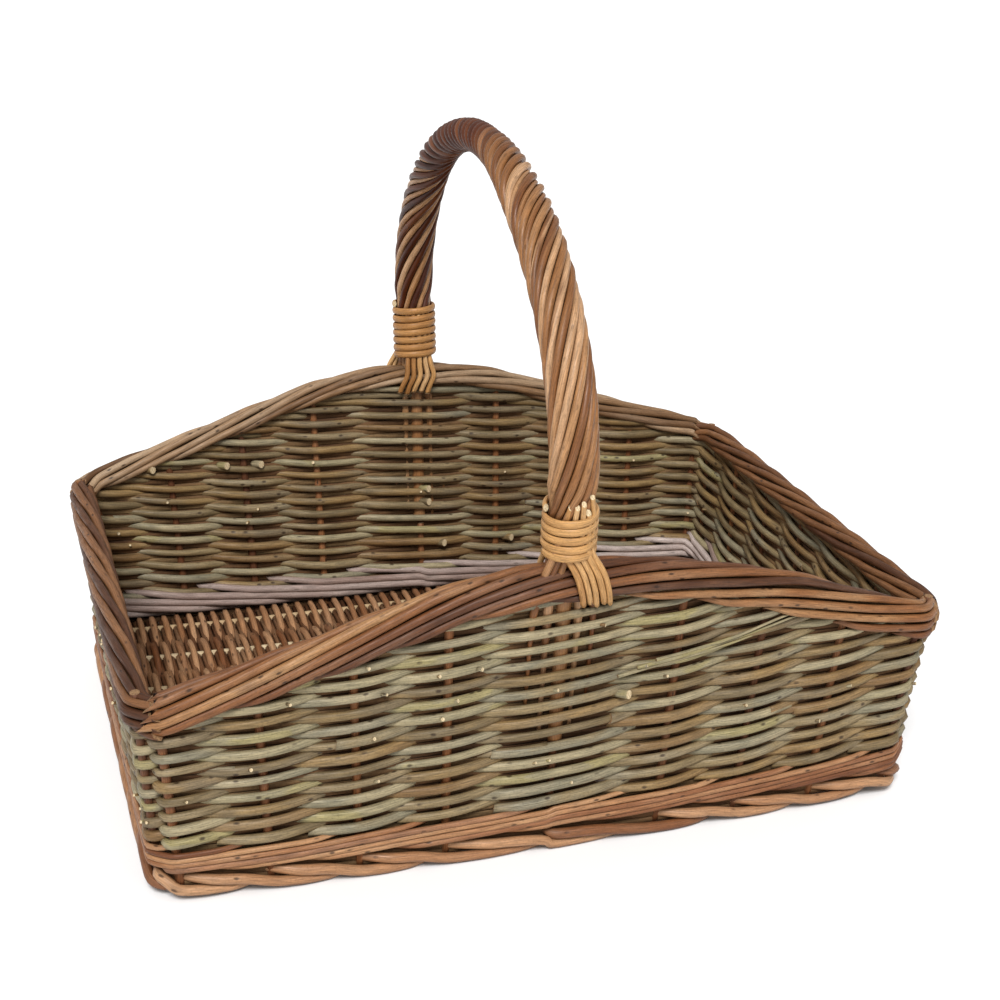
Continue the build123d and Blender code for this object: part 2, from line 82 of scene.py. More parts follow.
turn_sin, turn_cos = np.sin(VIEW_TURN), np.cos(VIEW_TURN)
back = Vector((turn_sin * np.cos(VIEW_DOWN), -turn_cos * np.cos(VIEW_DOWN), np.sin(VIEW_DOWN)))
right = Vector((turn_cos, turn_sin, 0))
up = back.cross(right)
turned_right = right * np.cos(VIEW_ROLL) + up * np.sin(VIEW_ROLL)
turned_up = up * np.cos(VIEW_ROLL) - right * np.sin(VIEW_ROLL)
camera = add_object("camera", bpy.data.cameras.new("camera"))
place = back * DISTANCE + right * ASIDE + up * UPWARD + Vector((0, 0, AIM_HEIGHT))
pose = Matrix((turned_right, turned_up, back)).transposed().to_4x4()
camera.matrix_world = Matrix.Translation(place) @ pose
camera.data.lens = LENS
camera.data.sensor_width = 36
bpy.context.scene.camera = camera
print("camera at", [round(v, 3) for v in place])

# %% [markdown]
# ## Sizes, as in the solid model
#
# Long walls lean out by one slope and end walls by another. The long rims arch up in
# the middle: a straight flank each side of a round top.

# %% Sizes and the slopes of the walls
MM = 0.001
CORNER_HEIGHT, ARCH_HEIGHT, ARCH_BEND = 131.0, 195.0, 295.0
END_FOOT, END_RIM = 230.6, 240.4
SIDE_FOOT, SIDE_RIM = 161.6, 176.4
CUT = 10.0
FACET = CUT * 1.4142
STAKE = 6.0
HANDLE_FRONT_S, HANDLE_BACK_S = -3.5, -8.5
STOPS = 32
end_slope = (END_RIM - END_FOOT) / CORNER_HEIGHT
side_slope = (SIDE_RIM - SIDE_FOOT) / CORNER_HEIGHT
flank_fall = ARCH_BEND - (ARCH_HEIGHT - CORNER_HEIGHT)
flank = np.arcsin(ARCH_BEND / np.hypot(END_RIM, flank_fall)) - np.arctan2(flank_fall, END_RIM)
peak = ARCH_HEIGHT + ARCH_BEND * (1 / np.cos(flank) - 1)
chance = np.random.default_rng(7)


def arch_top(s):
    """Height of a long rim: ARCH_HEIGHT - R + sqrt(R^2 - s^2), then straight flanks."""
    s = np.abs(s)
    top = ARCH_HEIGHT - ARCH_BEND + np.sqrt(np.maximum(ARCH_BEND**2 - s**2, 0))
    return np.where(s < ARCH_BEND * np.sin(flank), top, peak - s * np.tan(flank))


print("flank of the arch:", round(float(np.degrees(flank)), 1), "degrees")

# %% [markdown]
# ## Stops: where the stakes stand
#
# Going round the basket, the stakes are numbered 0 to 31, with two at each corner either
# side of a narrow facet. A rod's place is given by a stop number (with halves between
# stakes), a height, and a distance outward from the stakes. Under each foot of the
# handle a bunch of rods takes the place of a stake: the weave and the borders go round
# it as one wide stop, the wale and the foot as a narrow one.

# %% The stops of one wall
# For each wall: how far it is turned, its first stop, and whether its rim is arched.
WALLS = {"front": (0, 0, True), "right": (90, 9, False), "back": (180, 16, True), "left": (270, 25, False)}
LONG_WALLS = ("front", "back")
# Where the full stakes of a long wall stand, as shares of half its length.
STAKE_SHARES = (-1, -0.7667, -0.5333, -0.3, 0.3, 0.5333, 0.7667, 1)
BUNCH, NARROW_BUNCH = 12.0, 1.0
# A corner stop faces halfway between two walls: this is tan(22.5 degrees).
CORNER_LEAN = 0.4142


def wall_axes(wall):
    """Unit vectors along a wall and out of it, seen from above: (cos, sin) and (sin, -cos)."""
    a = np.radians(WALLS[wall][0])
    return np.array((np.cos(a), np.sin(a))), np.array((np.sin(a), -np.cos(a)))


def wall_stops(wall, bunch):
    """Each stop of a wall as (number, s at z = 0, how s grows with z)."""
    _, first, arched = WALLS[wall]
    foot, slope = (END_FOOT, end_slope) if arched else (SIDE_FOOT, side_slope)
    if not arched:
        return [(first + i, (i / 3 - 1) * (foot - CUT), (i / 3 - 1) * slope) for i in range(7)]
    rows = [(first + i + (i > 3), v * (foot - CUT), v * slope) for i, v in enumerate(STAKE_SHARES)]
    middle = HANDLE_FRONT_S if wall == "front" else HANDLE_BACK_S
    rows += [(first + 4 - 0.2, middle - bunch, 0), (first + 4 + 0.2, middle + bunch, 0)]
    return sorted(rows)


print("stops in each wall:", {wall: len(wall_stops(wall, BUNCH)) for wall in WALLS})

# %% The stops of all walls, and places given by them
def stop_table(bunch):
    """Number, x, y, growth of x and y with height, and outward direction of every stop."""
    rows = []
    for wall, (_, _, arched) in WALLS.items():
        along, out = wall_axes(wall)
        foot, slope = (SIDE_FOOT, side_slope) if arched else (END_FOOT, end_slope)
        stops = wall_stops(wall, bunch)
        for number, s, growth in stops:
            lean = CORNER_LEAN * ((number == stops[-1][0]) - (number == stops[0][0]))
            place, growing = along * s + out * foot, along * growth + out * slope
            rows.append([number, *place, *growing, *(out + along * lean)])
    rows = np.array(rows)
    before, after = rows[-1:].copy(), rows[:1].copy()
    before[:, 0] -= STOPS
    after[:, 0] += STOPS
    return np.vstack((before, rows, after))


TABLES = {True: stop_table(BUNCH), False: stop_table(NARROW_BUNCH)}


def around(q, z, n, bunch=True):
    """Points in space at stop numbers q, heights z and distances n outward."""
    table = TABLES[bunch]
    turned = np.mod(q, STOPS)
    x, y, dx, dy, nx, ny = (np.interp(turned, table[:, 0], table[:, i]) for i in range(1, 7))
    size = np.hypot(nx, ny)
    z = z * np.ones_like(x)
    return np.stack((x + dx * z + n * nx / size, y + dy * z + n * ny / size, z), axis=1)


def in_and_out(q, inside):
    """1 outside a stake and -1 behind it, easing from one to the next as (1 - cos(pi t)) / 2."""
    numbers = TABLES[True][:, 0]
    turned = np.mod(q, STOPS)
    i = np.clip(np.searchsorted(numbers, turned, side="right") - 1, 0, len(numbers) - 2)
    rounds = np.round(q - turned)
    here = np.where(inside(np.round(numbers[i]) + rounds), -1.0, 1.0)
    after = np.where(inside(np.round(numbers[i + 1]) + rounds), -1.0, 1.0)
    t = (turned - numbers[i]) / (numbers[i + 1] - numbers[i])
    return here + (after - here) * (1 - np.cos(np.pi * t)) / 2


def stop_at(wall, s, z):
    """The stop number at a distance s along a wall, on round its corner facets."""
    stops = np.array(wall_stops(wall, BUNCH))
    rows = []
    for height in np.atleast_1d(z):
        places = stops[:, 1] + stops[:, 2] * height
        rows.append(np.r_[places[0] - FACET, places, places[-1] + FACET])
    numbers = np.r_[stops[0, 0] - 1, stops[:, 0], stops[-1, 0] + 1]
    return np.array([np.interp(v, row, numbers) for v, row in zip(s, rows)])


print("stops round the basket:", STOPS)

# %% [markdown]
# ## Settling
#
# A woven basket is never quite true. Its long walls bow out a little in the middle, its
# corners rise off the ground by a few millimetres, and the right flank of the front arch
# stands a little higher than the left. All of this is one gentle bend of space, done to
# every rod's path, so that the rods stay together.

# %% Bend space a little
BOW, BOW_REACH = 0.028, 250
CORNER_LIFT, CORNER_X = 4.0, 235
FLANK_LIFT, FLANK_X, FLANK_WIDE = 4.5, 140, 48
FLANK_LOW, FLANK_RISE, FLANK_Y = 90, 70, 150


def settle(points):
    """y grows by BOW (1 - (x / reach)^2), z by CORNER_LIFT (x / corner)^4 and a bell at the flank."""
    x, y, z = points.T
    wide = 1 + BOW * np.clip(1 - (x / BOW_REACH) ** 2, 0, 1)
    lift = CORNER_LIFT * np.clip(np.abs(x) / CORNER_X, 0, 1.1) ** 4
    bell = FLANK_LIFT * np.exp(-(((x - FLANK_X) / FLANK_WIDE) ** 2))
    bell = bell * np.clip((z - FLANK_LOW) / FLANK_RISE, 0, 1) * np.clip(-y / FLANK_Y, 0, 1) ** 4
    return np.stack((x, y * wide, z + lift + bell), axis=1)


def smooth(path, reach=3):
    """Rounds a path with a bell-shaped moving average; its two ends stay in place."""
    bell = np.exp(-0.5 * (np.arange(-2 * reach, 2 * reach + 1) / reach) ** 2)
    bell /= bell.sum()
    before = 2 * path[:1] - path[2 * reach : 0 : -1]
    after = 2 * path[-1:] - path[-2 : -2 * reach - 2 : -1]
    grown = np.vstack((before, path, after))
    return np.stack([np.convolve(grown[:, i], bell, mode="valid") for i in range(3)], axis=1)


def run_along(path):
    """How far along a path each of its points is: the running sum of its steps."""
    return np.r_[0, np.cumsum(np.linalg.norm(np.diff(path, axis=0), axis=1))]


def respace(path, step, radius):
    """The same path with points a step apart, and the radius along it to match."""
    run = run_along(path)
    even = np.linspace(0, run[-1], max(int(run[-1] / step) + 1, 3))
    return np.stack([np.interp(even, run, v) for v in path.T], axis=1), np.interp(even, run, radius)


print("long walls bow out by", round(BOW * SIDE_RIM, 1), "mm")

# %% [markdown]
# ## Rods as tubes
#
# A rod is a grid of points: rings of `sides` points along a path. Each ring lies in
# the plane across the path, and the rings shrink from the butt of the rod to its tip.
# Both ends are cut, and the cut faces are a material of their own. A curve with a bevel
# would give the same tube, but a grid also takes a flat rod and a slanting cut.

# %% One rod as a grid of points
def tube(path, radius, ref, sides, thin, slant):
    """P + r (thin cos(a) N + sin(a) B), with N nearest to ref, T along the path and B = T x N."""
    tangent = np.gradient(path, axis=0)
    tangent /= np.linalg.norm(tangent, axis=1)[:, None]
    normal = np.broadcast_to(ref, path.shape)
    normal = normal - (normal * tangent).sum(1)[:, None] * tangent
    normal = normal / np.linalg.norm(normal, axis=1)[:, None]
    across = np.cross(tangent, normal)
    a = np.arange(sides) * 2 * np.pi / sides
    thin = (thin * np.ones(len(path)))[:, None, None]
    ring = thin * np.cos(a)[None, :, None] * normal[:, None] + np.sin(a)[None, :, None] * across[:, None]
    grid = path[:, None] + radius[:, None, None] * ring
    for end, amount in zip((0, -1), slant):
        grid[end] += amount * radius[end] * np.cos(a)[:, None] * tangent[end]
    return grid


print("rings, sides, axes of a rod:", tube(np.eye(3), np.ones(3), (1, 1, 1), 8, 1.0, (0, 0)).shape)

# %% [markdown]
# Each rod also carries its length and girth as a UV map, one number of its own that gives
# it its tone, and one that runs from 0 at its butt to 1 at its tip.

# %% Gather rods into one mesh
class Rods:
    """Many rods, kept as arrays until they become one mesh."""

    def __init__(self, name, nodes):
        self.name, self.nodes = name, nodes
        self.points, self.quads, self.caps = [], [], []
        self.uvs, self.cap_uvs, self.tones, self.tips = [], [], [], []
        self.count = 0

    def add(self, path, radius, ref=(0, 0, 1), sides=8, thin=1.0, slant=(0.0, 0.0), tone=None):
        """One more rod, its thickness upward unless ref says so; u runs along it and v round it."""
        path = settle(np.asarray(path, float))
        m = len(path)
        radius = radius * np.ones(m)
        run = run_along(path)
        i, k = np.meshgrid(np.arange(m - 1), np.arange(sides), indexing="ij")
        i, k = i.ravel(), k.ravel()
        after = (k + 1) % sides
        here, there = i * sides, (i + 1) * sides
        quads = np.stack((here + k, there + k, there + after, here + after), axis=1)
        start = chance.uniform(0, 3000)
        girth = 2 * np.pi * radius.mean()
        u = np.stack((run[i], run[i + 1], run[i + 1], run[i]), axis=1) + start
        v = np.stack((k, k, k + 1, k + 1), axis=1) / sides * girth
        base = self.count
        self.points.append(tube(path, radius, ref, sides, thin, slant).reshape(-1, 3))
        self.quads.append(quads + base)
        self.uvs.append(np.stack((u, v), axis=2).reshape(-1, 2) * MM)
        ring = np.arange(sides)
        self.caps.append(ring + base)
        self.caps.append(ring[::-1] + base + (m - 1) * sides)
        a = ring * 2 * np.pi / sides
        disc = np.stack((np.cos(a), np.sin(a)), axis=1) * radius.mean() * MM
        self.cap_uvs += [disc, disc[::-1]]
        self.tones.append(np.full(m * sides, chance.uniform() if tone is None else tone))
        self.tips.append(np.repeat(run / run[-1], sides))
        self.count += m * sides

    def make(self, bark, wood, slot):
        """One mesh object that stands for the solid nodes of the same place."""
        points = np.vstack(self.points) * MM
        quads = np.vstack(self.quads)
        corners = np.concatenate([quads.ravel()] + self.caps).astype(np.int32)
        totals = np.r_[np.full(len(quads), 4), [len(c) for c in self.caps]].astype(np.int32)
        mesh = bpy.data.meshes.new(self.name)
        mesh.vertices.add(len(points))
        mesh.vertices.foreach_set("co", points.astype(np.float32).ravel())
        mesh.loops.add(len(corners))
        mesh.loops.foreach_set("vertex_index", corners)
        mesh.polygons.add(len(totals))
        starts = np.r_[0, np.cumsum(totals)[:-1]].astype(np.int32)
        mesh.polygons.foreach_set("loop_start", starts)
        mesh.polygons.foreach_set("loop_total", totals)
        is_cut = np.r_[np.zeros(len(quads)), np.ones(len(self.caps))].astype(np.int32)
        mesh.polygons.foreach_set("material_index", is_cut)
        mesh.polygons.foreach_set("use_smooth", is_cut == 0)
        mesh.update(calc_edges=True)
        layer = mesh.uv_layers.new(name="rod_uv")
        layer.data.foreach_set("uv", np.vstack(self.uvs + self.cap_uvs).astype(np.float32).ravel())
        for name, values in (("tone", self.tones), ("tip", self.tips)):
            numbers = np.concatenate(values).astype(np.float32)
            mesh.attributes.new(name, "FLOAT", "POINT").data.foreach_set("value", numbers)
        mesh.validate()
        mesh.materials.append(bark)
        mesh.materials.append(wood)
        piece = add_object(self.name, mesh)
        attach(piece, "root")
        if self.nodes:
            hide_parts(*self.nodes)
        print(self.name, "-", len(self.tones), "rods,", len(quads) * 2, "triangles")


# %% [markdown]
# ## Willow bark and cut willow
#
# Bark takes its colour from a row of tones, one place in the row for each rod. Along the
# rod the tone drifts, fine streaks run lengthwise, and small dark bud scars are scattered.
# Where rods lie close together the colour is darkened as painted shade.

# %% Colours and nodes
def linear(code):
    """A hex colour of the screen as linear red, green, blue and a full alpha."""
    v = np.array([int(code[i : i + 2], 16) for i in (1, 3, 5)]) / 255
    v = np.where(v <= 0.04045, v / 12.92, ((v + 0.055) / 1.055) ** 2.4)
    return (*map(float, v), 1.0)


def node(tree, kind, inputs=None, stops=(), **settings):
    """Adds a node with its settings, its inputs set or linked, and the colour stops of a ramp."""
    made = tree.nodes.new("ShaderNode" + kind)
    for key, value in settings.items():
        setattr(made, key, value)
    for key, value in (inputs or {}).items():
        if isinstance(value, bpy.types.NodeSocket):
            tree.links.new(value, made.inputs[key])
        else:
            made.inputs[key].default_value = value
    while stops and len(made.color_ramp.elements) < len(stops):
        made.color_ramp.elements.new(0.5)
    for i, (position, code) in enumerate(stops):
        element = made.color_ramp.elements[i]
        element.position = position
        element.color = linear(code)
    return made


def new_material(name):
    """A new material, its node tree and its shader."""
    made = bpy.data.materials.new(name)
    made.use_nodes = True
    return made, made.node_tree, made.node_tree.nodes["Principled BSDF"]


print("mid grey is", round(linear("#808080")[0], 3), "in linear light")

# %% Bark
# Each pattern's scale, along and across the rod, is 1000 over its real size in millimetres:
# the drift of the colour is 56 by 17 mm, the grain 11 by 0.45 mm, the spaces between buds
# 18 by 9 mm, and the specks 1.4 by 1.1 mm, drawn coarser than real ones so that they show.
DRIFT, GRAIN, SPECKS = ((18.0, 60.0), 3.0), ((90.0, 2200.0), 4.0), ((700.0, 900.0), 2.0)
BUDS = (55.0, 110.0)
STREAK, SWAY, CREVICE = 0.4, 0.275, 0.009
WEATHERED, SCAR = "#8b8072", "#2a1a10"


def bark(name, tones, roughness=0.55, scars=0.8, weather=0.2, shaded=()):
    """Willow bark: rod tones, slow drift, streaks, bud scars, a grey bloom, painted shade where rods lie
    close, and painted shade along the rod if shaded is given.
    """
    material, tree, shader = new_material(name)
    uv = node(tree, "UVMap", uv_map="rod_uv").outputs[0]
    tone = node(tree, "Attribute", attribute_name="tone").outputs["Fac"]
    patterns = []
    for scale, detail in (DRIFT, GRAIN, SPECKS):
        placed = node(tree, "Mapping", {"Vector": uv, "Scale": (*scale, 1.0)}).outputs[0]
        inputs = {"Vector": placed, "Scale": 1.0, "Detail": detail}
        patterns.append(node(tree, "TexNoise", inputs, noise_dimensions="2D").outputs[0])
    drift, grain, specks = patterns
    placed = node(tree, "Mapping", {"Vector": uv, "Scale": (*BUDS, 1.0)}).outputs[0]
    inputs = {"Vector": placed, "Scale": 1.0}
    bud = node(tree, "TexVoronoi", inputs, voronoi_dimensions="2D").outputs["Distance"]
    open_air = node(tree, "AmbientOcclusion", {"Distance": CREVICE}, samples=5).outputs["AO"]

    # Each row: a pattern, the range of it that counts, and what that range becomes.
    ranges = (
        (drift, 0.0, 1.0, -SWAY, SWAY),
        (drift, 0.45, 0.7, 0.0, weather),
        (grain, 0.3, 0.7, 1 - STREAK, 1 + STREAK * 0.6),
        (specks, 0.3, 0.5, 0.82, 1.0),
        (bud, 0.05, 0.12, 1.0, 0.0),
        (drift, 0.48, 0.56, 0.0, 1.0),
        (open_air, 0.05, 0.6, 0.56, 1.0),
        (grain, 0.3, 0.7, roughness + 0.1, roughness - 0.1),
    )
    ranged = [node(tree, "MapRange", dict(enumerate(row))).outputs[0] for row in ranges]
    sway, bloom, streaks, dots, near, some, crevice_shade, shine = ranged

    # Sums and products of these, each worked out from what stands before it.
    pairs = ((tone, sway, "ADD"), (streaks, dots, "MULTIPLY"), (near, some, "MULTIPLY"))
    place, shade, scar = (node(tree, "Math", {0: a, 1: b}, operation=way).outputs[0] for a, b, way in pairs)
    scarred = node(tree, "Math", {0: scar, 1: scars}, operation="MULTIPLY").outputs[0]
    raised = node(tree, "Math", {0: scar, 1: 1.2}, operation="MULTIPLY").outputs[0]
    height = node(tree, "Math", {0: grain, 1: 0.5, 2: raised}, operation="MULTIPLY_ADD").outputs[0]
    grey = node(tree, "CombineColor", {0: shade, 1: shade, 2: shade}).outputs[0]
    crevice_shade_channels = [crevice_shade]
    for power in (1.2, 1.4):
        crevice_shade_channels.append(node(tree, "Math", {0: crevice_shade, 1: power}, operation="POWER").outputs[0])
    deep = node(tree, "CombineColor", dict(enumerate(crevice_shade_channels))).outputs[0]

    # The colour, and the layers laid over it: how much, what, and in which way.
    colour = node(tree, "ValToRGB", {"Fac": place}, tones).outputs["Color"]
    layers = [(bloom, linear(WEATHERED), "MIX"), (1.0, grey, "MULTIPLY"), (scarred, linear(SCAR), "MIX")]
    # Painted shade along the rod, read from its tip attribute.
    if shaded:
        along = node(tree, "Attribute", attribute_name="tip").outputs["Fac"]
        painted_rod_shade = node(tree, "ValToRGB", {"Fac": along}, shaded).outputs["Color"]
        layers.append((1.0, painted_rod_shade, "MULTIPLY"))
    # Painted shade: darker where rods lie close, a little more in green and blue.
    layers.append((1.0, deep, "MULTIPLY"))
    for amount, paint, blend in layers:
        inputs = {0: amount, 6: colour, 7: paint}
        colour = node(tree, "Mix", inputs, data_type="RGBA", blend_type=blend).outputs[2]
    tree.links.new(colour, shader.inputs["Base Color"])
    tree.links.new(shine, shader.inputs["Roughness"])
    shader.inputs["Specular IOR Level"].default_value = 0.3
    bump = node(tree, "Bump", {"Height": height, "Strength": 0.45, "Distance": 0.0004})
    tree.links.new(bump.outputs[0], shader.inputs["Normal"])
    return material


print("the grain is", round(1000 / GRAIN[0][1], 2), "mm wide")

# %% Bark of the walls and borders
# Willow dried with its bark on, for the walls: olive to grey-brown, dull, with many bud scars.
GREEN_TONES = [(0.0, "#765a38"), (0.2, "#8a7048"), (0.4, "#6c5c40"), (0.55, "#8a7755")]
GREEN_TONES += [(0.7, "#7d7660"), (0.85, "#9e9070"), (0.97, "#8a8062"), (1.0, "#93875a")]
GREEN = bark("willow_green", GREEN_TONES)
# Rods in the heart of the walls: coloured dark and matt as painted shade.
CORE_SHADE_TONES = [(0.0, "#4c3119"), (0.5, "#6b4d30"), (1.0, "#7c6443")]
CORE_SHADE = bark("willow_core_shade", CORE_SHADE_TONES, roughness=0.8, scars=0.0, weather=0.0)
# Brown willow for the border of the front: red-brown to tan, with a soft sheen.
BROWN_TONES = [(0.0, "#4e2d18"), (0.3, "#6a4024"), (0.6, "#845632"), (0.85, "#a67c52"), (1.0, "#6f4a2e")]
BROWN = bark("willow_brown", BROWN_TONES, roughness=0.5, weather=0.1)
# The same on the ends, darker as painted shade, and on the back, lighter and greyer.
END_SHADED_TONES = [(0.0, "#4a2a16"), (0.5, "#6d4628"), (1.0, "#8a5f3c")]
END_SHADED_BROWN = bark("willow_end_brown_shaded", END_SHADED_TONES, roughness=0.55, weather=0.0)
BACK_TONES = [(0.0, "#604228"), (0.5, "#876646"), (1.0, "#aa8e70")]
BACK_BROWN = bark("willow_back_brown", BACK_TONES, roughness=0.55)
print("made:", *(made.name for made in (GREEN, CORE_SHADE, BROWN, END_SHADED_BROWN, BACK_BROWN)))

# %% Bark of the handle, the foot and the base
# Lighter brown willow for the foot and the base: warm, with the same sheen.
FOOT_TONES = [(0.0, "#744729"), (0.5, "#986b48"), (1.0, "#b28762")]
FOOT_BROWN = bark("willow_foot", FOOT_TONES, roughness=0.5, weather=0.1)
# Willow worn by hands: smoother and warmer. The roping is darkened from the back as far as the top, as
# painted shade.
HANDLE_TONES = [(0.0, "#683c1e"), (0.3, "#8e6038"), (0.6, "#a97d54"), (0.85, "#bd9570"), (1.0, "#7e5230")]
HANDLE_PAINTED_SHADE = [(0.0, "#8c6444"), (0.38, "#946c4a"), (0.5, "#a07654"), (0.62, "#ffffff"), (1.0, "#ffffff")]
worn = {"roughness": 0.42, "scars": 0.35, "weather": 0.05}
HANDLE_BROWN = bark("willow_handle", HANDLE_TONES, **worn)
ROPING_SHADED_BROWN = bark("willow_roping_shaded", HANDLE_TONES, **worn, shaded=HANDLE_PAINTED_SHADE)
# Split tan willow for the lashings: golden, almost without scars.
TAN_TONES = [(0.0, "#8a5a2c"), (0.35, "#a87744"), (0.7, "#c1935c"), (1.0, "#d0a878")]
TAN = bark("willow_tan", TAN_TONES, roughness=0.45, scars=0.15, weather=0.0)
# Stout stakes: an even red-brown.
STAKE_TONES = [(0.0, "#54301b"), (0.5, "#7a4a28"), (1.0, "#946038")]
STAKE_BROWN = bark("willow_stake", STAKE_TONES, roughness=0.6, weather=0.1)
# The wale above the foot: mixed browns.
WALE_TONES = [(0.0, "#6a3f24"), (0.3, "#8c5c3a"), (0.65, "#b0845c"), (0.85, "#986c4c"), (1.0, "#7a5238")]
WALE_BROWN = bark("willow_wale", WALE_TONES, roughness=0.52, weather=0.1)
# The inside of the wale: pale mauve-grey willow.
MAUVE = bark("willow_mauve", [(0.0, "#856c60"), (0.5, "#a5928a"), (1.0, "#bcaca4")], scars=0.3)
# Peeled sticks of the base: pale and dry.
PALE_TONES = [(0.0, "#bfa179"), (0.5, "#d0b78f"), (1.0, "#dcc8a4")]
PALE = bark("willow_pale", PALE_TONES, roughness=0.7, scars=0.1, weather=0.05)
print("materials, with the frame's own:", len(bpy.data.materials))

# %% Cut ends
def cut_wood(name, pale, dark):
    """The cut end of a rod: matt wood, flecked with pith about 1 mm across."""
    material, tree, shader = new_material(name)
    uv = node(tree, "UVMap", uv_map="rod_uv").outputs[0]
    spots = node(tree, "TexNoise", {"Vector": uv, "Scale": 900.0, "Detail": 3.0}).outputs[0]
    paint = node(tree, "ValToRGB", {"Fac": spots}, [(0.3, dark), (0.6, pale)])
    tree.links.new(paint.outputs["Color"], shader.inputs["Base Color"])
    shader.inputs["Roughness"].default_value = 0.8
    bump = node(tree, "Bump", {"Height": spots, "Strength": 0.3, "Distance": 0.0003})
    tree.links.new(bump.outputs[0], shader.inputs["Normal"])
    return material


# A fresh cut is pale; one in a border has weathered brown.
CUT_END = cut_wood("willow_cut", "#d9c6a2", "#a08458")
CUT_DARK = cut_wood("willow_cut_weathered", "#94734f", "#553722")
print("made:", CUT_END.name, CUT_DARK.name)

# %% [markdown]
# ## The base
#
# Thick pale sticks run along the basket. Thin brown rods cross them, over one and under
# the next, so short lengths of pale stick show between them. A straight row of the same
# brown rods lies at the middle of the base, so that no light comes up through it.

# %% Base sticks
BASE_MIDDLE, BASE_STICK, BASE_ROD, STICKS = 20.1, 7.0, 4.1, 7
BASE_REACH_X, BASE_REACH_Y = 223.0, 154.7
STICK_EDGE = 142.3

sticks = Rods("base_sticks_willow", ["base_sticks"])
for i in range(STICKS):
    y = STICK_EDGE * (2 * i / (STICKS - 1) - 1)
    x = np.linspace(-BASE_REACH_X, BASE_REACH_X, 60)
    wander = chance.uniform(0.3, 1.0) * np.sin(x / 60 + i)
    sticks.add(np.stack((x, y + wander, BASE_MIDDLE + 0 * x), 1), BASE_STICK / 2)
sticks.make(PALE, CUT_END, "base_stick_willow")

# %% Base weave
BASE_PITCH = 4.5
count = int(2 * (BASE_REACH_X + 1) / BASE_PITCH)
offset = (BASE_STICK + BASE_ROD) / 2

floor_rods = Rods("base_weave_willow", ["base_weave"])
for j in range(count):
    x0 = (j - (count - 1) / 2) * BASE_PITCH
    y = np.linspace(-BASE_REACH_Y, BASE_REACH_Y, 66)
    u = (y / STICK_EDGE + 1) / 2 * (STICKS - 1)
    side = 1 if j % 2 else -1
    z = BASE_MIDDLE + side * offset * np.cos(np.pi * u)
    x = x0 + chance.normal(0, 0.25) + 0.5 * np.sin(y / 45 + chance.uniform(0, 6))
    radius = BASE_ROD / 2 * chance.uniform(1.12, 1.3) * np.linspace(1.04, 0.97, len(y))
    floor_rods.add(np.stack((x, y, z), 1), radius, (1, 0, 0), sides=6)
floor_rods.make(FOOT_BROWN, CUT_END, "base_weave_willow")

# %% The straight row at the middle of the base
STRAIGHT_Z = BASE_MIDDLE + 0.8
straight = Rods("base_core_willow", [])
for j in range(count):
    x0 = (j - (count - 2) / 2) * BASE_PITCH
    ends = np.array(((x0, -BASE_REACH_Y, STRAIGHT_Z), (x0, BASE_REACH_Y, STRAIGHT_Z)))
    straight.add(ends, chance.uniform(2.1, 2.4), (1, 0, 0))
straight.make(FOOT_BROWN, CUT_DARK, "base_weave_willow")

# %% [markdown]
# ## Stakes
#
# Six full stakes and a short one under the handle stand in each long wall, five in each
# end wall, and two at each corner.

# %% Stakes of the walls and corners
FOOT_Z, MIDDLE_TOP, UNDER_RIM = 3.0, 73.0, 8
MIDDLE_STOPS = (4, 20)
CORNER_STOPS = (0, 8, 9, 15, 16, 24, 25, 31)
by_wall = {wall: Rods(f"stakes_{wall}_willow", [f"stakes_{wall}"]) for wall in WALLS}
corner_rods = Rods("corner_stakes_willow", ["corner_stakes"])
for stop in range(STOPS):
    wall = [name for name, (_, first, _) in WALLS.items() if stop >= first][-1]
    corner = stop in CORNER_STOPS
    if stop in MIDDLE_STOPS:
        top = MIDDLE_TOP
    elif wall in LONG_WALLS and not corner:
        i = stop - WALLS[wall][1]
        top = float(arch_top(STAKE_SHARES[i - (i > 4)] * (END_RIM - CUT))) - UNDER_RIM
    else:
        top = CORNER_HEIGHT - (1 if corner else UNDER_RIM)
    z = np.linspace(FOOT_Z, top, 24)
    q = np.full(24, float(stop))
    path = around(q, z, 0.25 * np.sin(z / 30 + stop), bunch=False)
    kind = corner_rods if corner else by_wall[wall]
    kind.add(path, np.linspace(3.15, 2.8, 24) * chance.uniform(0.93, 1.06), (1, 0.3, 0))
for rods in by_wall.values():
    rods.make(STAKE_BROWN, CUT_END, "stake_willow")
corner_rods.make(STAKE_BROWN, CUT_DARK, "stake_willow")

# %% [markdown]
# ## The green weave
#
# The walls are filled with climbing rods. Rod j starts behind stake j at the bottom of
# the weave and rises by one row for each stake that it passes, outside one and inside
# the next, so at every stake the rods lie evenly over each other. Its height at stop q is
# z = WEAVE_START + ROW_PITCH (q - j). It ends where it meets the underside of the rim,
# and under the arch of a long rim it comes out again as a shorter packing rod. Odd and
# even lines are two meshes, and both run round all four walls.

# %% The rim's height, and one rod of the weave
WEAVE_START, ROW_PITCH = 35.0, 4.85
OUTER_DEPTH, INNER_DEPTH = 26.5, 12.5


def is_long(q):
    """Whether stop numbers lie in the front or back wall."""
    turned = np.mod(q, STOPS)
    return (turned < 8.5) | ((turned > 15.5) & (turned < 24.5))


def rim_at(q):
    """Height of the rim's top at stop numbers."""
    arched = np.maximum(arch_top(around(q, 120.0, 0.0)[:, 0]), CORNER_HEIGHT)
    return np.where(is_long(q), arched, CORNER_HEIGHT)


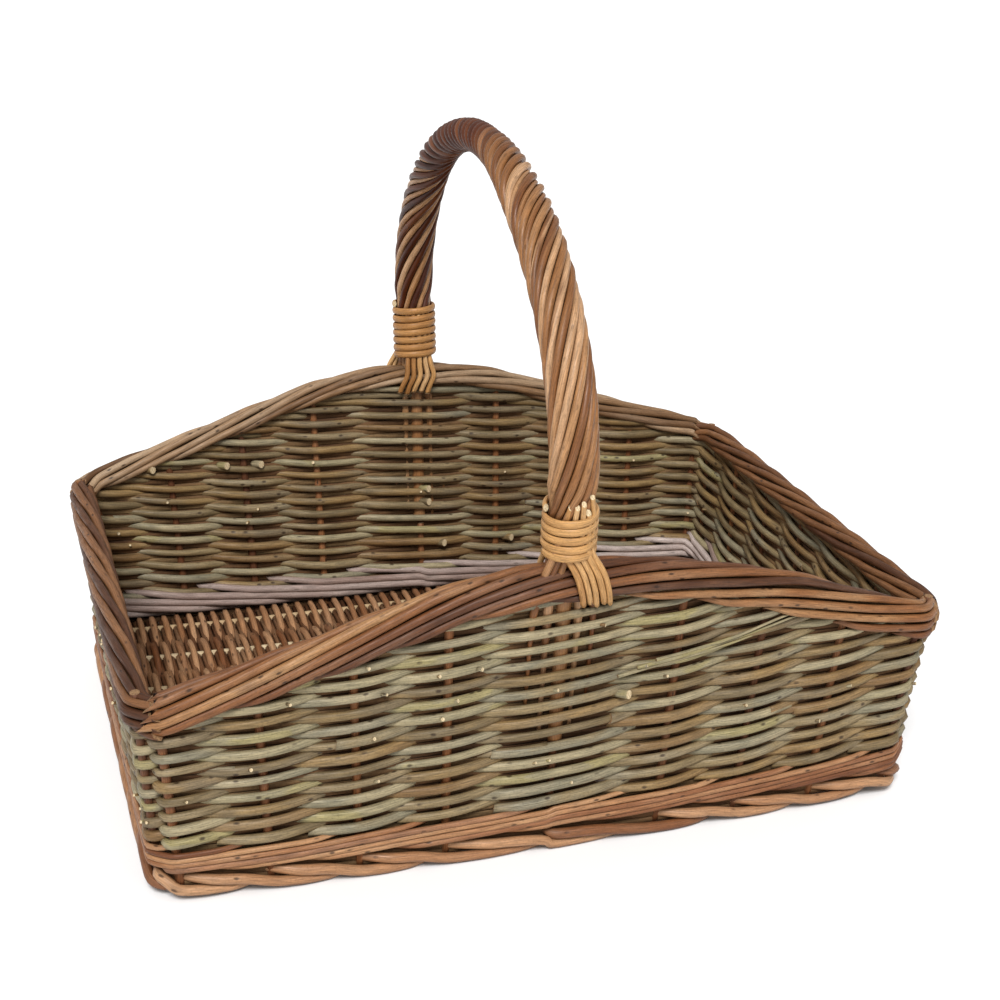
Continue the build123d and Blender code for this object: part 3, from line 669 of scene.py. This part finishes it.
def weave_rod(rods, j, q0, q1, butt, tip):
    """A rod of line j from stop q0 to stop q1, thick at its butt and thin at its tip."""
    q = np.linspace(q0, q1, max(int((q1 - q0) * 40), 16))
    rim = rim_at(q)
    radius = np.linspace(butt, tip, len(q)) * (1 + 0.05 * np.sin(q * 2.1 + chance.uniform(0, 6)))
    wander = 0.4 * np.sin(q * 0.9 + chance.uniform(0, 6)) + 0.3 * np.sin(q * 2.3 + chance.uniform(0, 6))
    z = np.minimum(WEAVE_START + ROW_PITCH * (q - j) + wander, rim - INNER_DEPTH + 1.0)
    n = in_and_out(q, lambda stop: (stop + j) % 2 == 1) * (STAKE / 2 + radius * 0.55)
    n = np.minimum(n, np.interp(rim - z, (OUTER_DEPTH - 3, OUTER_DEPTH + 2), (-0.5, 9.0)))
    path, radius = respace(smooth(around(q, z, n), 3), 3.6, radius)
    rods.add(path, radius, thin=1.2, slant=(0.3, 0.3))


def stretches(fits):
    """First and last index of each stretch where fits is true."""
    edges = np.flatnonzero(np.diff(np.r_[0, fits.astype(int), 0]))
    return zip(edges[::2], edges[1::2] - 1)


print("rim at the middle of the front:", round(float(rim_at(np.array([4.0]))[0]), 1), "mm")

# %% Weave rods
# How many stakes one rod passes, and what is too short to be left for another.
SHORTEST, LONGEST, LEFT_OVER = 7, 13, 4
odd = Rods("weave_ends_willow", ["weave_left", "weave_right"])
even = Rods("weave_sides_willow", ["weave_front", "weave_back"])
for j in range(STOPS):
    q = np.arange(j - 0.3, j + 30, 1 / 30)
    fits = WEAVE_START + ROW_PITCH * (q - j) < rim_at(q) - INNER_DEPTH
    for first, last in stretches(fits):
        at, end = q[first], q[last]
        if end - at < 0.9:
            continue
        while at < end:
            reach = chance.uniform(SHORTEST, LONGEST)
            if end - at - reach < LEFT_OVER:
                reach = end - at
            thick = chance.uniform(2.35, 2.85)
            tip = thick * chance.uniform(0.72, 0.85)
            weave_rod(odd if j % 2 else even, j, at - 0.25, at + reach + 0.25, thick, tip)
            at += reach
odd.make(GREEN, CUT_DARK, "weave_willow")
even.make(GREEN, CUT_DARK, "weave_willow")

# %% [markdown]
# Dark rods lie in the heart of the wall, so no light comes through between the rows; their dark colour is
# painted shade.
# They are slats: 2 mm thick, and tall enough to reach each other.

# %% Core rods
CORE_ROWS, CORE_LOW, CORE_PITCH = 36, 14.0, 4.9
core = Rods("weave_core_willow", [])
for k in range(CORE_ROWS):
    z = CORE_LOW + k * CORE_PITCH
    q = np.arange(0, STOPS + 0.01, 1 / 12)
    for first, last in stretches(z < rim_at(q) - INNER_DEPTH + 4):
        if q[last] - q[first] > 1:
            part = q[first : last + 1]
            path = around(part, z, -0.3 + 0.2 * np.sin(part * 5 + k), bunch=False)
            core.add(smooth(path, 1), 1.0, sides=6, thin=2.75)
core.make(CORE_SHADE, CUT_DARK, "weave_willow")

# %% [markdown]
# ## The wale
#
# The band above the foot is laid in long strokes. Each stroke starts behind a stake, low
# in the band, passes outside the next four as it climbs, and goes in behind the one
# after them. One stroke starts at every stake, so about five lie over each other.

# %% Wale strokes
WALE_LOW, WALE_HIGH, STROKE = 13.8, 32.5, 5.2
wale = Rods("wale_willow", ["wale_front", "wale_right", "wale_back", "wale_left"])
for i in range(STOPS):
    q = np.linspace(i - 0.12, i + STROKE + 0.1, 260)
    share = (q - q[0]) / (q[-1] - q[0])
    rise = WALE_LOW + (WALE_HIGH - WALE_LOW) * share
    edge = np.minimum(np.clip((q - i - 0.02) / 0.75, 0, 1), np.clip((i + STROKE - q) / 0.8, 0, 1))
    swing = -1 + (1 - np.cos(np.pi * edge))
    radius = np.linspace(2.2, 1.7, len(q)) * chance.uniform(0.88, 1.1)
    lap = 0.8 * np.sin(np.pi * share)
    n = swing * (STAKE / 2 + radius + 0.2) + lap
    path = smooth(around(q, rise + 0.4 * np.sin(3 * q + i), n, bunch=False), 3)
    path, radius = respace(path, 3.4, radius)
    wale.add(path, radius, slant=(1.0, 1.6))
wale.make(WALE_BROWN, CUT_DARK, "wale_willow")

# %% [markdown]
# Inside the wall the wale shows as thick mauve-grey rods, each three and a half stakes
# long. They leave the line of the stakes, climb against the inner side, and go back in.

# %% The wale's inner side
INNER_LOW, INNER_CLIMB = 24.5, 17.0
inner_wale = Rods("wale_inside_willow", [])
for i in range(STOPS):
    q = np.linspace(i - 0.8, i + 2.8, 170)
    share = (q - q[0]) / (q[-1] - q[0])
    edge = np.minimum(np.clip((q - q[0]) / 0.8, 0, 1), np.clip((q[-1] - q) / 0.8, 0, 1))
    swing = -0.05 - 0.475 * (1 - np.cos(np.pi * edge))
    radius = np.linspace(3.0, 2.6, len(q)) * chance.uniform(0.93, 1.05)
    n = swing * (STAKE / 2 + radius + 1.7)
    path = smooth(around(q, INNER_LOW + INNER_CLIMB * share, n, bunch=False), 3)
    path, radius = respace(path, 3.6, radius)
    inner_wale.add(path, radius, slant=(1.0, 1.0))
inner_wale.make(MAUVE, CUT_DARK, "wale_willow")

# %% [markdown]
# ## The foot border
#
# Short thick rods come out from under the wale, one at each stake. Each runs out over
# the one before, steps down beside the next, and goes in under those that follow. Two
# rods in the heart of the border close it, coloured dark as painted shade.

# %% Foot strokes
LOW_Z, HIGH_Z = 3.1, 9.4
FOOT_Q = np.array((-0.16, 0.1, 0.32, 0.62, 0.98, 1.3, 1.6, 1.78))
FOOT_HEIGHTS = (10.5, 10.4, HIGH_Z + 0.4, HIGH_Z, LOW_Z + 1.2, LOW_Z + 0.2, LOW_Z + 0.2, LOW_Z + 0.4)
FOOT_OUT = (-2.5, 2.0, 6.1, 6.9, 6.7, 6.2, 4.4, 0.5)
FOOT_RADII = (2.4, 3.1, 3.3, 3.3, 3.2, 3.1, 2.9, 2.6)
foot = Rods("foot_willow", ["foot_front", "foot_right", "foot_back", "foot_left"])
for i in range(STOPS):
    knots = FOOT_Q + i + chance.uniform(-0.09, 0.09)
    q = np.linspace(knots[0], knots[-1], 120)
    path = around(q, np.interp(q, knots, FOOT_HEIGHTS), np.interp(q, knots, FOOT_OUT), bunch=False)
    radius = np.interp(q, knots, FOOT_RADII) * chance.uniform(0.94, 1.04)
    path, radius = respace(smooth(path, 5), 3.0, radius)
    foot.add(path, radius, slant=(0.3, 0.3))
foot.make(FOOT_BROWN, CUT_DARK, "foot_willow")

FOOT_CORE_HEIGHTS = (6.5, 11.0)
foot_core = Rods("foot_core_willow", [])
for z in FOOT_CORE_HEIGHTS:
    foot_core.add(around(np.linspace(0, STOPS, 400), z, -0.5, bunch=False), 2.9, sides=6)
foot_core.make(CORE_SHADE, CUT_DARK, "foot_willow")

# %% [markdown]
# ## The top borders
#
# Seen in section a border is an upturned U of seven rods. Every rod starts low on the
# outside, climbs slowly over the top as it runs to the right, and ends low on the
# inside, so the border looks twisted: gently on the long rims, a little more steeply on
# the ends. Two rods lie in the hollow of the U, coloured dark as painted shade.

# %% Border rods
SECTION_N = np.array((6.6, 6.9, 6.7, 3.5, -3.2, -6.5, -5.6))
SECTION_DROP = np.array((22.4, 15.8, 9.2, 3.3, 3.3, 8.6, 12.5))
# A new rod starts this often along a long rim, and along an end. Both its ends tuck in
# over a short way, and two rods in the hollow of the U lie this far down and out.
LONG_EVERY, END_EVERY, TUCK = 46.0, 42.0, 14
HOLLOW = ((9.5, 0.0), (14.0, 1.0))


def border_top(s, half, arched):
    """Height of a rim's top at distances s along its wall, level past the corners."""
    top = arch_top(s) if arched else CORNER_HEIGHT + 0 * s
    return np.maximum(np.where(np.abs(s) < half + CUT, top, CORNER_HEIGHT), CORNER_HEIGHT)


def border(wall, new_rod_every):
    """Rods of one rim; g, from 0 to 6, is how far each has gone round the section."""
    rods = Rods(f"border_{wall}_willow", [f"border_{wall}"])
    arched = WALLS[wall][2]
    half = (END_RIM if arched else SIDE_RIM) - CUT
    start, end = -half - 3, half + FACET + 3
    length = 7 * new_rod_every
    s0 = start - length
    while s0 < end - 10:
        a, b = max(s0, start + chance.uniform(-2, 2)), min(s0 + length, end + chance.uniform(-1, 1))
        if b - a > 18:
            s = np.arange(a, b, 1.0)
            g = np.clip((s - s0) / length * 6.6 - 0.3, 0, 6)
            tuck = np.clip((s - s0) / TUCK, 0, 1) * np.clip((s0 + length - s) / TUCK, 0, 1)
            lean = np.clip(np.abs(np.gradient(arch_top(s))), 0, 1) if arched else 0 * s
            drop = np.interp(g, range(7), SECTION_DROP) * np.sqrt(1 + lean**2)
            z = border_top(s, half, arched) - drop
            n = np.interp(g, range(7), SECTION_N) * (0.35 + 0.65 * tuck)
            over = np.clip((s - half) / 8, 0, 1)
            n = n - over * np.sign(n) * 0.6
            path = smooth(around(stop_at(wall, s, z), z, n), 4)
            radius = np.linspace(2.85, 2.5, len(s)) * chance.uniform(0.92, 1.06)
            radius *= np.interp(s - s0, (0, 25), (0.8, 1))
            path, radius = respace(path, 3.2, radius)
            rods.add(path, radius, slant=(2.2, -1.2))
        s0 += new_rod_every * chance.uniform(0.93, 1.07)
    s = np.arange(-half - 2, half + CUT, 2.0)
    top = border_top(s, half, arched)
    for drop, n in HOLLOW:
        path = around(stop_at(wall, s, top - drop), top - drop, n)
        border_core.add(path, 3.3, sides=6)
    return rods


border_core = Rods("border_core_willow", [])
for wall in WALLS:
    # The end borders take the darker copy of the brown: painted shade.
    paint = {"front": BROWN, "back": BACK_BROWN}.get(wall, END_SHADED_BROWN)
    border(wall, LONG_EVERY if WALLS[wall][2] else END_EVERY).make(paint, CUT_DARK, "border_willow")
border_core.make(CORE_SHADE, CUT_DARK, "border_willow")

# %% [markdown]
# ## The handle
#
# The bow is one curve over the basket's short way: a cubic from the apex to each
# shoulder, then a straight leg that leans as its wall does. Rods are roped round it.
# At length l along the bow a rod is turned by phi(l), where d phi / d l = lay / radius.

# %% The bow's middle line
HANDLE_TOP, SPRING_Z, SHOULDER_UP, SHOULDER_IN = 402.0, 243.0, 72.0, 108.0
APEX_OUTER, LEG_OUTER, SWELL = 10.0, 13.7, 240.0
span = np.array((HANDLE_FRONT_S + HANDLE_BACK_S, -2 * (SIDE_FOOT + side_slope * ARCH_HEIGHT), 0.0))
toward = span / np.linalg.norm(span)
sideways = np.cross(toward, (0, 0, 1.0))
middle = np.array(((HANDLE_FRONT_S - HANDLE_BACK_S) / 2, 0, 0))
lean_in = np.arctan(side_slope)
spring_h = (SIDE_FOOT + side_slope * SPRING_Z) / abs(toward[1])
shoulder_h = spring_h + SHOULDER_UP * np.sin(lean_in)
shoulder_z = SPRING_Z + SHOULDER_UP * np.cos(lean_in)
apex_z = HANDLE_TOP - APEX_OUTER
t = np.linspace(0, 1, 1500)
curve_h = 3 * t * (1 - t) ** 2 * SHOULDER_IN + 3 * t**2 * (1 - t) * shoulder_h + t**3 * spring_h
curve_z = (1 - t) ** 2 * (1 + 2 * t) * apex_z + 3 * t**2 * (1 - t) * shoulder_z + t**3 * SPRING_Z
down = np.linspace(0.5, 200, 400)
curve_h = np.r_[curve_h, spring_h - down * np.sin(lean_in)]
curve_z = np.r_[curve_z, SPRING_Z - down * np.cos(lean_in)]
curve_l = np.r_[0, np.cumsum(np.hypot(np.diff(curve_h), np.diff(curve_z)))]
slope_h, slope_z = np.gradient(curve_h, curve_l), np.gradient(curve_z, curve_l)
# From this point of the curve on, it falls steadily. The bow ends this high.
STEEP_FROM, FOOT_TIP_Z = 1000, 75.0


def bow_at(l):
    """Middle points, directions and outward directions at lengths l from the apex."""
    sign = np.where(l < 0, -1.0, 1.0)
    h, z, dh, dz = (np.interp(np.abs(l), curve_l, v) for v in (curve_h, curve_z, slope_h, slope_z))
    upward = np.array((0, 0, 1.0))
    point = middle + (sign * h)[:, None] * toward + z[:, None] * upward
    direction = dh[:, None] * toward + (sign * dz)[:, None] * upward
    return point, direction, np.cross(direction, sideways)


def length_to(z):
    """Length from the apex down to a height on the straight leg."""
    return float(np.interp(-z, -curve_z[STEEP_FROM:], curve_l[STEEP_FROM:]))


print("half the bow is", round(length_to(FOOT_TIP_Z)), "mm long")

# %% How thick the handle is, and how its roping turns
STRAND, STRANDS = 4.6, 7
LEG_LAY, TOP_LAY = 18.0, 42.0
LASH_LOW, LASH_PITCH, LASH_TURNS = 200.0, 5.3, {"front": 5, "back": 7}
lash_top = {wall: LASH_LOW + LASH_PITCH * (turns + 0.9) for wall, turns in LASH_TURNS.items()}
neck = {1.0: length_to(lash_top["front"]), -1.0: length_to(lash_top["back"])}


def ease(x):
    """From 0 to 1 as (1 - cos(pi x)) / 2."""
    return (1 - np.cos(np.pi * np.clip(x, 0, 1))) / 2


def outer_radius(l):
    """Half the handle's thickness: thin over the top, thick in the legs."""
    near = np.where(l > 0, neck[1.0], neck[-1.0])
    radius = APEX_OUTER + (LEG_OUTER - APEX_OUTER) * ease(np.abs(l) / np.where(l > 0, SWELL / 2, SWELL))
    return radius - 1.1 * ease((np.abs(l) - near + 12) / 12)


l = np.arange(-neck[-1.0] - 14, neck[1.0] + 14, 2.2)
top_lean, leg_lean = np.tan(np.radians(TOP_LAY)), np.tan(np.radians(LEG_LAY))
lay = top_lean + (leg_lean - top_lean) * ease(np.abs(l) / SWELL)
ring = outer_radius(l) - STRAND / 2
turned = np.cumsum(np.gradient(l) * lay / ring)
pair = 2 * np.pi * ring * np.cos(np.arctan(lay)) / STRANDS
point, _, outward = bow_at(l)
print("handle: twist of", round(float(turned[-1] / 2 / np.pi), 1), "turns")

# %% Roping and the short rods between it
roping = Rods("handle_roping_willow", ["handle_roping"])
fillers = Rods("leg_fillers_willow", ["leg_fillers_front", "leg_fillers_back"])
main_wide = np.interp(pair, (4, 5.4, 7.5, 10), (4.1, 5.5, 5.2, 5.1))
for j in range(STRANDS):
    for kind, shift in ((roping, 0.0), (fillers, 0.5)):
        angle = turned + 2 * np.pi * (j + shift) / STRANDS
        out = sideways * np.cos(angle)[:, None] + outward * np.sin(angle)[:, None]
        wide = main_wide if kind is roping else pair - main_wide + 0.3
        sunk = 0 if kind is roping else 1.6 * np.clip(1 - (wide - 1.4) / 2, 0, 1)
        deep = ring + chance.uniform(-0.15, 0.2) - sunk
        path = point + out * deep[:, None]
        wide = wide * (1 + 0.04 * np.sin(l / 37 + j))
        if kind is roping:
            kind.add(path, wide * 0.485, out, sides=10)
            continue
        for side in (-1, 1):
            keep = (l * side > 0) & (pair > 6.0 + chance.uniform(0, 0.9))
            kind.add(path[keep], wide[keep] / 2, out[keep], sides=10, thin=0.95)
roping.make(ROPING_SHADED_BROWN, CUT_END, "handle_willow")
fillers.make(HANDLE_BROWN, CUT_END, "handle_willow")

# %% The bow itself, its feet thinned where they go into the wall
bow = Rods("handle_bow_willow", ["handle_bow"])
bow_l = np.linspace(-length_to(FOOT_TIP_Z), length_to(FOOT_TIP_Z), 420)
centre, _, out_bow = bow_at(bow_l)
height = centre[:, 2]
in_wall, above = np.interp(height, (188, 206), (1, 0)), np.interp(height, (188, 206), (0, 1))
bow_radius = in_wall * 4.6 + above * (outer_radius(bow_l) - STRAND + 0.6)
bow.add(centre, bow_radius, out_bow, sides=14, thin=np.interp(height, (184, 204), (0.65, 1.0)))
bow.make(HANDLE_BROWN, CUT_END, "handle_willow")

# %% [markdown]
# Beside the bow four more rods go down into each long wall, and three short ones lie
# outside it, over the border. Each is a smooth route through places near the foot.

# %% Places near a foot of the handle, and the rods beside the bow
LEG_RODS = ((-19, -11, 96, 2.5), (-9.6, -8.2, 78, 3.1), (8.8, 8.0, 84, 3.0), (17.5, 9.5, 100, 2.5))
SHORT_RODS = ((-15.0, -8.5), (-10.5, -5.0), (-5.5, -1.0))


def at_foot(wall, s, n, z):
    """A place near a foot of the handle, s along and n out from the middle of the wall."""
    along, out = wall_axes(wall)
    s0 = HANDLE_FRONT_S if wall == "front" else HANDLE_BACK_S
    flat = along * (s0 + s) + out * (SIDE_FOOT + side_slope * z + n)
    return (*flat, z)


def bent(wall, knots, count=50, reach=5):
    """A smooth rod route through places near a foot of the handle."""
    knots = np.array([at_foot(wall, *knot) for knot in knots], float)
    run = run_along(knots)
    even = np.linspace(0, run[-1], count)
    return smooth(np.stack([np.interp(even, run, v) for v in knots.T], axis=1), reach)


for wall in LONG_WALLS:
    legs = Rods(f"leg_rods_{wall}_willow", [f"leg_rods_{wall}"])
    for s_low, s_high, z_low, r in LEG_RODS:
        n = 2.0 if abs(s_low) > 15 else 0.5
        knots = [(s_low, 0.0, z_low), (s_low, n, 150), (s_low, n, 168)]
        knots += [(s_high, n, 190), (s_high * 0.8, n, 215)]
        legs.add(bent(wall, knots), r * np.interp(np.arange(50), (0, 20, 28), (0.45, 0.6, 1.0)), (0.2, 1, 0))
    for s_low, s_top in SHORT_RODS:
        knots = [(s_low, 1.0, 176), (s_low, 4.5, 187), (s_low * 0.8, 6.5, 196), (s_top, 9.5, 212)]
        legs.add(bent(wall, knots, 40, 4), 2.3, (0.2, 1, 0))
    legs.make(HANDLE_BROWN, CUT_END, "handle_willow")

# %% [markdown]
# ## Splay rods and lashings
#
# Under each lashing thin tan rods fan out over the border, and their cut ends stick up
# above it. The lashing is split willow, flat inside and rounded outside, wound in one
# helix: P = axis + up * pitch * turns + radius * (cos, sin).

# %% Splay rods
SPLAY_RING, SPLAY_FAN = 12.4, 0.33
for wall in LONG_WALLS:
    for name, side, spread, shift in (("outside", 1, 3.9, 12.0), ("inside", -1, 5.2, 0.0)):
        splay = Rods(f"splay_{name}_{wall}_willow", [f"splay_{name}_{wall}"])
        for j in range(5):
            v = j - 2
            low = shift + spread * v + chance.uniform(-0.4, 0.4)
            ring_s = SPLAY_RING * np.sin(SPLAY_FAN * v + 0.2 * (side > 0))
            ring_n = side * SPLAY_RING * np.cos(SPLAY_FAN * v)
            tail, end_z = chance.uniform(0, 3), 171.0 if side > 0 else 177.0
            top = lash_top[wall] + (chance.uniform(-2.5, 7) if side > 0 else -10)
            knots = [
                (low + 4.0, side * 8.5, end_z - tail),
                (low + 2.0, side * 11.4, end_z + 6),
                (low - 1.5, side * 12.2, 188),
                ((low + ring_s) / 2, side * 12.0, 195),
                (ring_s, ring_n, 203),
                (ring_s, ring_n, lash_top[wall] - 6),
                (ring_s * 0.8, ring_n * 1.12, top),
            ]
            radius = np.interp(np.arange(60), (0, 45, 59), (1.85, 2.0, 1.5)) * chance.uniform(0.92, 1.08)
            splay.add(bent(wall, knots, 60, 3), radius, (0, side, 0.1), slant=(1.0, 0.8))
        splay.make(TAN, CUT_END, "lashing_willow")

# %% Lashings
LASH_RADIUS, LASH_HALF, LASH_THIN = 14.3, 2.45, 0.6
LASH_TONES = {"front": 0.62, "back": 0.4}
POINTS_A_TURN = 40
for wall, turns in LASH_TURNS.items():
    sign = 1.0 if wall == "front" else -1.0
    angle = np.linspace(0, 2 * np.pi * turns, POINTS_A_TURN * turns)
    base, axis, _ = bow_at(np.array([sign * length_to(LASH_LOW + 2.2)]))
    climb = axis[0] * -sign
    out_from = np.cross(climb, sideways)
    wobble = 0.25 * np.sin(angle * 0.7) + 0.2 * np.sin(angle * 1.9)
    around_it = sideways * np.cos(angle)[:, None] + out_from * np.sin(angle)[:, None]
    path = base + climb * (LASH_PITCH * angle / (2 * np.pi) + wobble)[:, None] + around_it * LASH_RADIUS
    apart = min(np.linalg.norm(path[i] - path[i + 30 :], axis=1).min() for i in range(0, len(path) - 60, 5))
    lashing = Rods(f"lashing_{wall}_willow", [f"lashing_{wall}"])
    lashing.add(path, LASH_HALF, around_it, sides=12, thin=LASH_THIN, tone=LASH_TONES[wall])
    lashing.make(TAN, CUT_END, "lashing_willow")
    print(f"lashing {wall}: {turns} turns, its turns lie {apart:.1f} mm apart")

# %% [markdown]
# ## Cut ends in the weave
#
# Where a rod was used up, its pale cut end stands a little out of the wall: most of
# them inside the back wall, one in the middle of the front wall.

# %% Pale stubs
STUBS = {
    "back": ((-189, 133), (-136, 132), (-111, 131), (14, 101), (14, 91), (25, 58), (78, 57)),
    "front": ((38, 104),),
}
stubs = Rods("weave_stubs_willow", [])
for wall, places in STUBS.items():
    for x, z in places:
        y = (SIDE_FOOT + side_slope * z) * (1 if wall == "back" else -1)
        start, end = np.array((x - 5, y - 1.0, z - 1.0)), np.array((x, y - 8.0, z + 0.5))
        line = start + (end - start) * np.linspace(0, 1, 6)[:, None]
        stubs.add(line, 2.7, sides=10)
stubs.make(GREEN, CUT_END, "weave_willow")

# %% [markdown]
# Side shoots were snipped off the rods before weaving, and each left a small pale cut.
# Two in three are outside. A few thin tips were laid in over the front wall at the end.

# %% Side shoots and thin tips
SHOOTS = 170
shoots = Rods("weave_shoots_willow", [])
for k in range(SHOOTS):
    stop, face = chance.integers(0, STOPS), 1 if k % 3 else -1
    row = 2 * chance.integers(1, 13) + (face < 0)
    q = stop + chance.uniform(-0.33, 0.33) + np.array((0.0, chance.uniform(0.01, 0.05)))
    z = WEAVE_START + ROW_PITCH * (row + q - stop) + np.array((0.0, chance.uniform(0, 2.0)))
    if z[0] < rim_at(q)[0] - OUTER_DEPTH - 3:
        path = around(q, z, face * np.array((4.5, chance.uniform(6.9, 8.3))))
        shoots.add(path, chance.uniform(0.8, 1.25), sides=6)
shoots.make(GREEN, CUT_END, "weave_willow")

tips = Rods("weave_tips_willow", [])
for k in range(3):
    q = np.linspace(4.5 + 0.15 * k, 6.1 + 0.25 * k, 60)
    z = 117 + 10.5 * (q - 4.5) + 1.9 * k + 0.8 * np.sin(4 * q + k)
    path = smooth(around(q, z, 5.6 + 0.8 * np.sin(5 * q + 2 * k)), 2)
    tips.add(path, np.linspace(1.2, 0.6, 60), tone=0.97)
tips.make(GREEN, CUT_DARK, "weave_willow")

# %% [markdown]
# ## Floor, light and size
#
# A plain white floor carries a soft shadow. The sky is white all round, and one broad
# lamp shines from above and behind the camera.

# %% Floor and light
floor_mesh = bpy.data.meshes.new("floor")
floor_mesh.from_pydata([(-30, -30, 0), (30, -30, 0), (30, 30, 0), (-30, 30, 0)], [], [(0, 1, 2, 3)])
floor = add_object("floor", floor_mesh)
floor_paint, _, floor_shader = new_material("floor_white")
floor_shader.inputs["Base Color"].default_value = (0.92, 0.92, 0.92, 1)
floor_shader.inputs["Roughness"].default_value = 1.0
floor_shader.inputs["Specular IOR Level"].default_value = 0.0
floor_mesh.materials.append(floor_paint)
floor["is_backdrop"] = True

world = bpy.data.worlds.new("studio")
bpy.context.scene.world = world
world.use_nodes = True
sky = world.node_tree.nodes["Background"]
sky.inputs["Color"].default_value = (1.0, 1.0, 1.0, 1)
sky.inputs["Strength"].default_value = 0.62

lamp = add_object("key_lamp", bpy.data.lights.new("key_lamp", "SUN"))
lamp.data.energy = 3.0
lamp.data.angle = 0.35
lamp.rotation_euler = (0.72, 0.0, -0.35)
bpy.context.scene.view_settings.view_transform = "Standard"
print("lamp:", lamp.data.energy, "and sky:", round(sky.inputs["Strength"].default_value, 2))

# %% Compare the boxes and finish
visual_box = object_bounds()
sizes = {"cad": [list(c) for c in cad_box], "visual": [list(c) for c in visual_box]}
for name, (low, high) in sizes.items():
    print(name, [round((b - a) * 1000, 1) for a, b in zip(low, high)], "mm")
